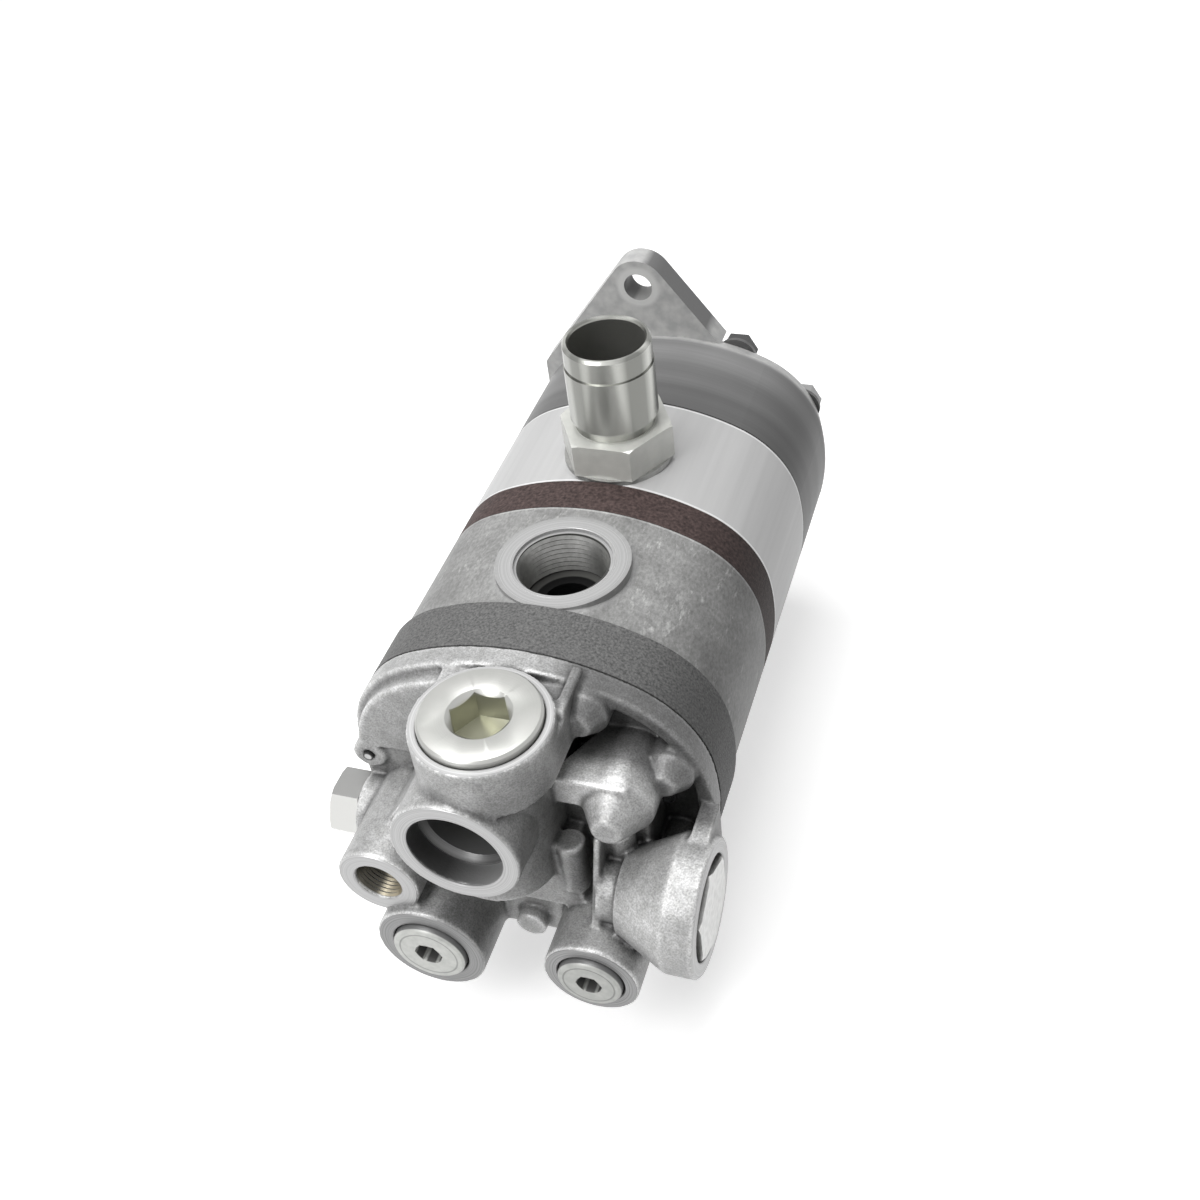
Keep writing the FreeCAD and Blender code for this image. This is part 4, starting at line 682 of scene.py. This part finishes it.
def turned_piece(name, place, facing, profile, finish):
    """A ring turned from an outline of (radius, height) in millimetres, closed on itself."""
    clear_selection()
    last_radius, last_height = profile[0]
    bpy.ops.mesh.primitive_circle_add(vertices=ROUND_SIDES, radius=last_radius / 1000,
                                      location=(0, 0, last_height / 1000))
    piece = bpy.context.active_object
    piece.name = name
    bpy.ops.object.transform_apply(location=True)
    bpy.ops.object.mode_set(mode="EDIT")
    bpy.ops.mesh.select_all(action="SELECT")
    for radius, height in profile[1:] + profile[:1]:
        rise = (height - last_height) / 1000
        scale = radius / last_radius
        bpy.ops.mesh.extrude_region_move(TRANSFORM_OT_translate={"value": (0, 0, rise)})
        bpy.ops.transform.resize(value=(scale, scale, 1), center_override=(0, 0, height / 1000))
        last_radius, last_height = radius, height
    bpy.ops.mesh.select_all(action="SELECT")
    bpy.ops.mesh.remove_doubles(threshold=0.000001)
    bpy.ops.mesh.normals_make_consistent(inside=False)
    bpy.ops.object.mode_set(mode="OBJECT")
    fix_in_place(piece, place, facing, 30, finish)


def machined_rim(name, place, facing, inner, outer, finish):
    """The faced end of a boss: a thin ring with both its edges broken."""
    sunk = -0.6
    proud = 0.12
    profile = [(inner, sunk), (outer - 0.1, sunk), (outer - 0.1, -0.25), (outer - 0.4, proud),
               (inner + 0.35, proud), (inner, -0.2)]
    turned_piece(name, place, facing, profile, finish)


def thread_coil(name, place, facing, radius, pitch, turns, finish):
    """A thread in a bore, its radius and pitch in millimetres: a three-sided ridge wound round."""
    ridge_radius = pitch * 0.0004
    clear_selection()
    bpy.ops.mesh.primitive_circle_add(vertices=3, radius=ridge_radius, fill_type="NGON",
                                      location=(radius / 1000, 0, 0), rotation=(math.pi / 2, 0, 0))
    piece = bpy.context.active_object
    piece.name = name
    bpy.ops.object.transform_apply(location=True, rotation=True)
    apply_modifier(piece, "SCREW", axis="Z", angle=2 * math.pi, screw_offset=pitch / 1000,
                   iterations=turns, steps=COIL_STEPS, render_steps=COIL_STEPS)
    fix_in_place(piece, place, facing, 50, finish)


# Pieces

def make_cover_casting(finish):
    """The cover with the soft corners and fillets that its die leaves."""
    casting = copy_of("rear_valve_cover", "cover_casting")
    apply_modifier(casting, "REMESH", mode="VOXEL", voxel_size=0.00075)
    apply_modifier(casting, "SMOOTH", factor=0.5, iterations=4)
    apply_modifier(casting, "DECIMATE", ratio=0.5)
    bpy.ops.object.shade_smooth()
    give_finish(casting, finish)
    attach(casting, "housing")
    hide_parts("rear_valve_cover")


def make_machined_faces():
    """Faced rims on the casting's bosses, and the threads in the open ports."""
    outlet = on_axis(OUTLET_AXIS, 56.2)
    machined_rim("outlet_rim", outlet, "-Y", 15.9, 21.2, make_machined("outlet_face", outlet, "Y"))
    # The step in the outlet's bore gets dark machined tones as painted shade.
    step = [(14.0, -29), (15.85, -29), (15.85, -8.5), (15.3, -8.5), (14.9, -9.5), (14.0, -11)]
    turned_piece("outlet_step", outlet, "-Y", step,
                 make_machined("outlet_bore", outlet, "Y", 0.16, 0.24))

    small = on_axis(SMALL_PORT_AXIS, 51.2)
    relief = on_axis(RELIEF_AXIS, 54.1)
    gallery = on_axis(GALLERY_AXIS, 54.1)
    side = cover_place(67.5, 33.1, -16)
    top = cover_place(0, TOP_PLUG_DEPTH, TOP_RIM_HEIGHT)
    port = Vector((MIDDLE_X, PORT_Y, PORT_FACE_Z))

    # Each rim: its place and side, its inner and outer radius, and its finish and tones; the relief
    # and gallery rims' darker tones are painted shade
    rims = (
        ("small_port_rim", small, "-Y", 8.5, 14.1, "small_face", 0.39, 0.52),
        ("relief_rim", relief, "-Y", 13.6, 19.1, "relief_face", 0.2, 0.3),
        ("gallery_rim", gallery, "-Y", 11.6, 16.0, "gallery_face", 0.2, 0.34),
        ("side_rim", side, "+X", 17.6, 22.5, "side_face", 0.39, 0.52),
        ("top_rim", top, "+Z", 19.75, 22.5, "top_face", 0.39, 0.52),
        ("inlet_rim", port, "+Z", 17.1, 18.6, "inlet_face", 0.36, 0.5),
    )
    for name, place, facing, inner, outer, face, low, high in rims:
        finish = make_machined(face, place, facing[1], low, high)
        machined_rim(name, place, facing, inner, outer, finish)

    thread_coil("small_thread", on_axis(SMALL_PORT_AXIS, 36.5), "-Y", 8.3, 1.5, 9,
                make_thread_brass(small))
    thread_coil("inlet_thread", (MIDDLE_X, PORT_Y, PORT_THREAD_Z), "+Z", 15.9, 2, 8,
                make_steel("port_thread_metal", (0.34, 0.34, 0.33), 0.3))


def make_top_plug(finish):
    """The top plug with its socket's mouth countersunk."""
    plug = copy_of("top_plug", "top_plug_body")
    clear_selection()
    bpy.ops.mesh.primitive_cone_add(vertices=ROUND_SIDES, radius1=0.0083, radius2=0.0113,
                                    depth=0.003,
                                    location=cover_place(0, TOP_PLUG_DEPTH, TOP_MOUTH_HEIGHT))
    cut_away(plug, bpy.context.active_object)
    break_edges(plug, 0.00025)
    give_finish(plug, finish)
    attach(plug, "housing")
    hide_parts("top_plug")


def make_lower_plug(name, centre, collar_radius, face_radius, finish):
    """A plug in a lower boss, its collar drawn out past the boss's rim and tapered to its face."""
    proud = 0.0028
    face_layer = 0.001
    edge_width = 0.0005
    plug = copy_of(name, name + "_body")
    face_y = min(vertex.co.y for vertex in plug.data.vertices)
    edit_points(plug, lambda place: place.y < face_y + face_layer)
    bpy.ops.transform.translate(value=(0, -proud, 0))
    bpy.ops.object.mode_set(mode="OBJECT")

    def on_edge(place):
        reach = math.hypot(place.x - centre.x, place.z - centre.z)
        return place.y < face_y - proud + face_layer and reach > face_radius - edge_width

    edit_points(plug, on_edge)
    taper = face_radius / collar_radius
    bpy.ops.transform.resize(value=(taper, 1, taper), center_override=centre)
    bpy.ops.object.mode_set(mode="OBJECT")
    break_edges(plug, 0.0002)
    give_finish(plug, finish)
    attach(plug, "housing")
    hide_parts(name)


def make_spring_coil(name, axis, towards):
    """A valve's spring, copied onto the housing, with the middle of its fixed end worked out but
    not used.

    The axis is a number, 0 for X, and towards is the sign of the valve's way along it.
    """
    coil = copy_of(name, name + "_coil")
    smooth_below(40)
    corners = [Vector(corner) for corner in coil.bound_box]
    anchor = sum(corners, Vector()) / len(corners)
    reaches = [corner[axis] for corner in corners]
    anchor[axis] = max(reaches) if towards > 0 else min(reaches)
    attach(coil, "housing")
    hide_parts(name)
    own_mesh(coil)


def dress(name, finish):
    give_finish(nodes[name], finish)


def dress_nodes():
    """Finishes of the CAD nodes, also of those that a piece is copied from."""
    tail_bore_radius = 0.0137
    hexagon_top = 0.0658
    pin_radius = 0.0011
    dress("mounting_flange", make_flange_metal())
    dress("front_pump_body", make_front_aluminium())
    dress("intermediate_plate", make_brown_iron())
    dress("rear_pump_body", make_rear_aluminium())
    dress("adapter_ring", make_ring_iron())
    dress("hose_tail", make_tail_zinc((MIDDLE_X, TAIL_Y, 0), tail_bore_radius, hexagon_top))
    dress("left_hex_plug", make_hexagon_zinc("left_plug_zinc", cover_place(0, 18.2, -17.5), "X"))
    dress("valve_cap", make_steel("cap_steel", (0.62, 0.62, 0.61), 0.32))
    dress("nose_bush", make_steel("bush_bronze", (0.42, 0.28, 0.13), 0.35))
    dress("through_bolts", make_bolt_steel())
    dress("rim_pin", make_pin_steel(cover_place(-57, 0, 5), pin_radius))
    bearing_blocks = [name for name in nodes if "bearing_block" in name]
    shared_finishes = (
        (make_steel("bright_steel", (0.6, 0.6, 0.61), 0.25),
         ("front_drive_gear", "front_driven_gear", "rear_drive_gear", "rear_driven_gear",
          "coupling_sleeve", "priority_spool", "relief_poppet", "dowel_pins")),
        (make_steel("dark_steel", (0.16, 0.16, 0.16), 0.45),
         ("bolt_washers", "seal_circlip", "spool_spring", "relief_spring")),
        (make_steel("block_aluminium", (0.5, 0.5, 0.5), 0.4), bearing_blocks),
        (make_rubber(),
         ("shaft_seal", "flange_seal", "front_body_seal", "plate_seal", "rear_body_seal",
          "ring_seal")),
        (make_steel("seal_metal", (0.42, 0.42, 0.41), 0.4),
         ("hose_tail_seal", "top_plug_seal", "relief_plug_seal", "gallery_plug_seal",
          "valve_cap_seal")),
    )
    for finish, names in shared_finishes:
        for name in names:
            dress(name, finish)


# Floor and light

def seen_as_white(tree, otherwise, seen=1.0):
    """One strength where the camera or a reflection looks, and another for the light it gives."""
    path = tree.nodes.new("ShaderNodeLightPath")
    either = tree.nodes.new("ShaderNodeMath")
    either.operation = "MAXIMUM"
    any_way = tree.nodes.new("ShaderNodeMath")
    any_way.operation = "MAXIMUM"
    tree.links.new(path.outputs["Is Camera Ray"], either.inputs[0])
    tree.links.new(path.outputs["Is Glossy Ray"], either.inputs[1])
    tree.links.new(either.outputs["Value"], any_way.inputs[0])
    tree.links.new(path.outputs["Is Transmission Ray"], any_way.inputs[1])
    return between(tree, any_way.outputs["Value"], 0, 1, otherwise, seen)


def make_floor():
    lowest = cad_box[0][2]
    bpy.ops.mesh.primitive_plane_add(size=6, location=(0, 0, lowest - 0.0005))
    floor = bpy.context.active_object
    floor.name = "floor"
    material, tree, shader = start_material("floor_white", 0.0, 0.9)
    tree.links.new(seen_as_white(tree, 0.3, 0.86), shader.inputs["Base Color"])
    shader.inputs["Emission Color"].default_value = (1, 1, 1, 1)
    tree.links.new(seen_as_white(tree, 0.0, 0.55), shader.inputs["Emission Strength"])
    floor.data.materials.append(material)


def make_world():
    world = bpy.data.worlds.new("soft_white")
    bpy.context.scene.world = world
    world.use_nodes = True
    tree = world.node_tree
    background = tree.nodes["Background"]
    background.inputs["Color"].default_value = (1, 1, 1, 1)
    tree.links.new(seen_as_white(tree, 0.25), background.inputs["Strength"])


def add_lamp(name, place, size, power):
    """An area lamp that looks at the pump's middle."""
    target = Vector((MIDDLE_X, -0.13, 0))
    bpy.ops.object.light_add(type="AREA", location=place)
    lamp = bpy.context.active_object
    lamp.name = name
    lamp.data.size = size
    lamp.data.energy = power
    lamp.rotation_euler = (target - Vector(place)).to_track_quat("-Z", "Y").to_euler()


make_camera()
dress_nodes()
make_cover_casting(make_die_cast())
make_machined_faces()
make_top_plug(make_top_zinc(cover_place(0, TOP_PLUG_DEPTH, 0), TOP_SOCKET_RADIUS, TOP_FACE_Z))
for name, axis, collar_radius, face_radius, socket_radius, tone in LOWER_PLUGS:
    centre = on_axis(axis)
    finish = make_plug_zinc(name + "_zinc", centre, face_radius, socket_radius, tone)
    make_lower_plug(name, centre, collar_radius, face_radius, finish)
make_spring_coil("spool_spring", 0, 1)
make_spring_coil("relief_spring", 1, -1)
make_floor()
make_world()
add_lamp("window_left", (-0.4, -0.95, 0.9), size=0.6, power=7.5)
add_lamp("soft_top", (-0.14, -0.1, 1.1), size=0.8, power=10.5)

bpy.context.scene.view_settings.view_transform = "Standard"
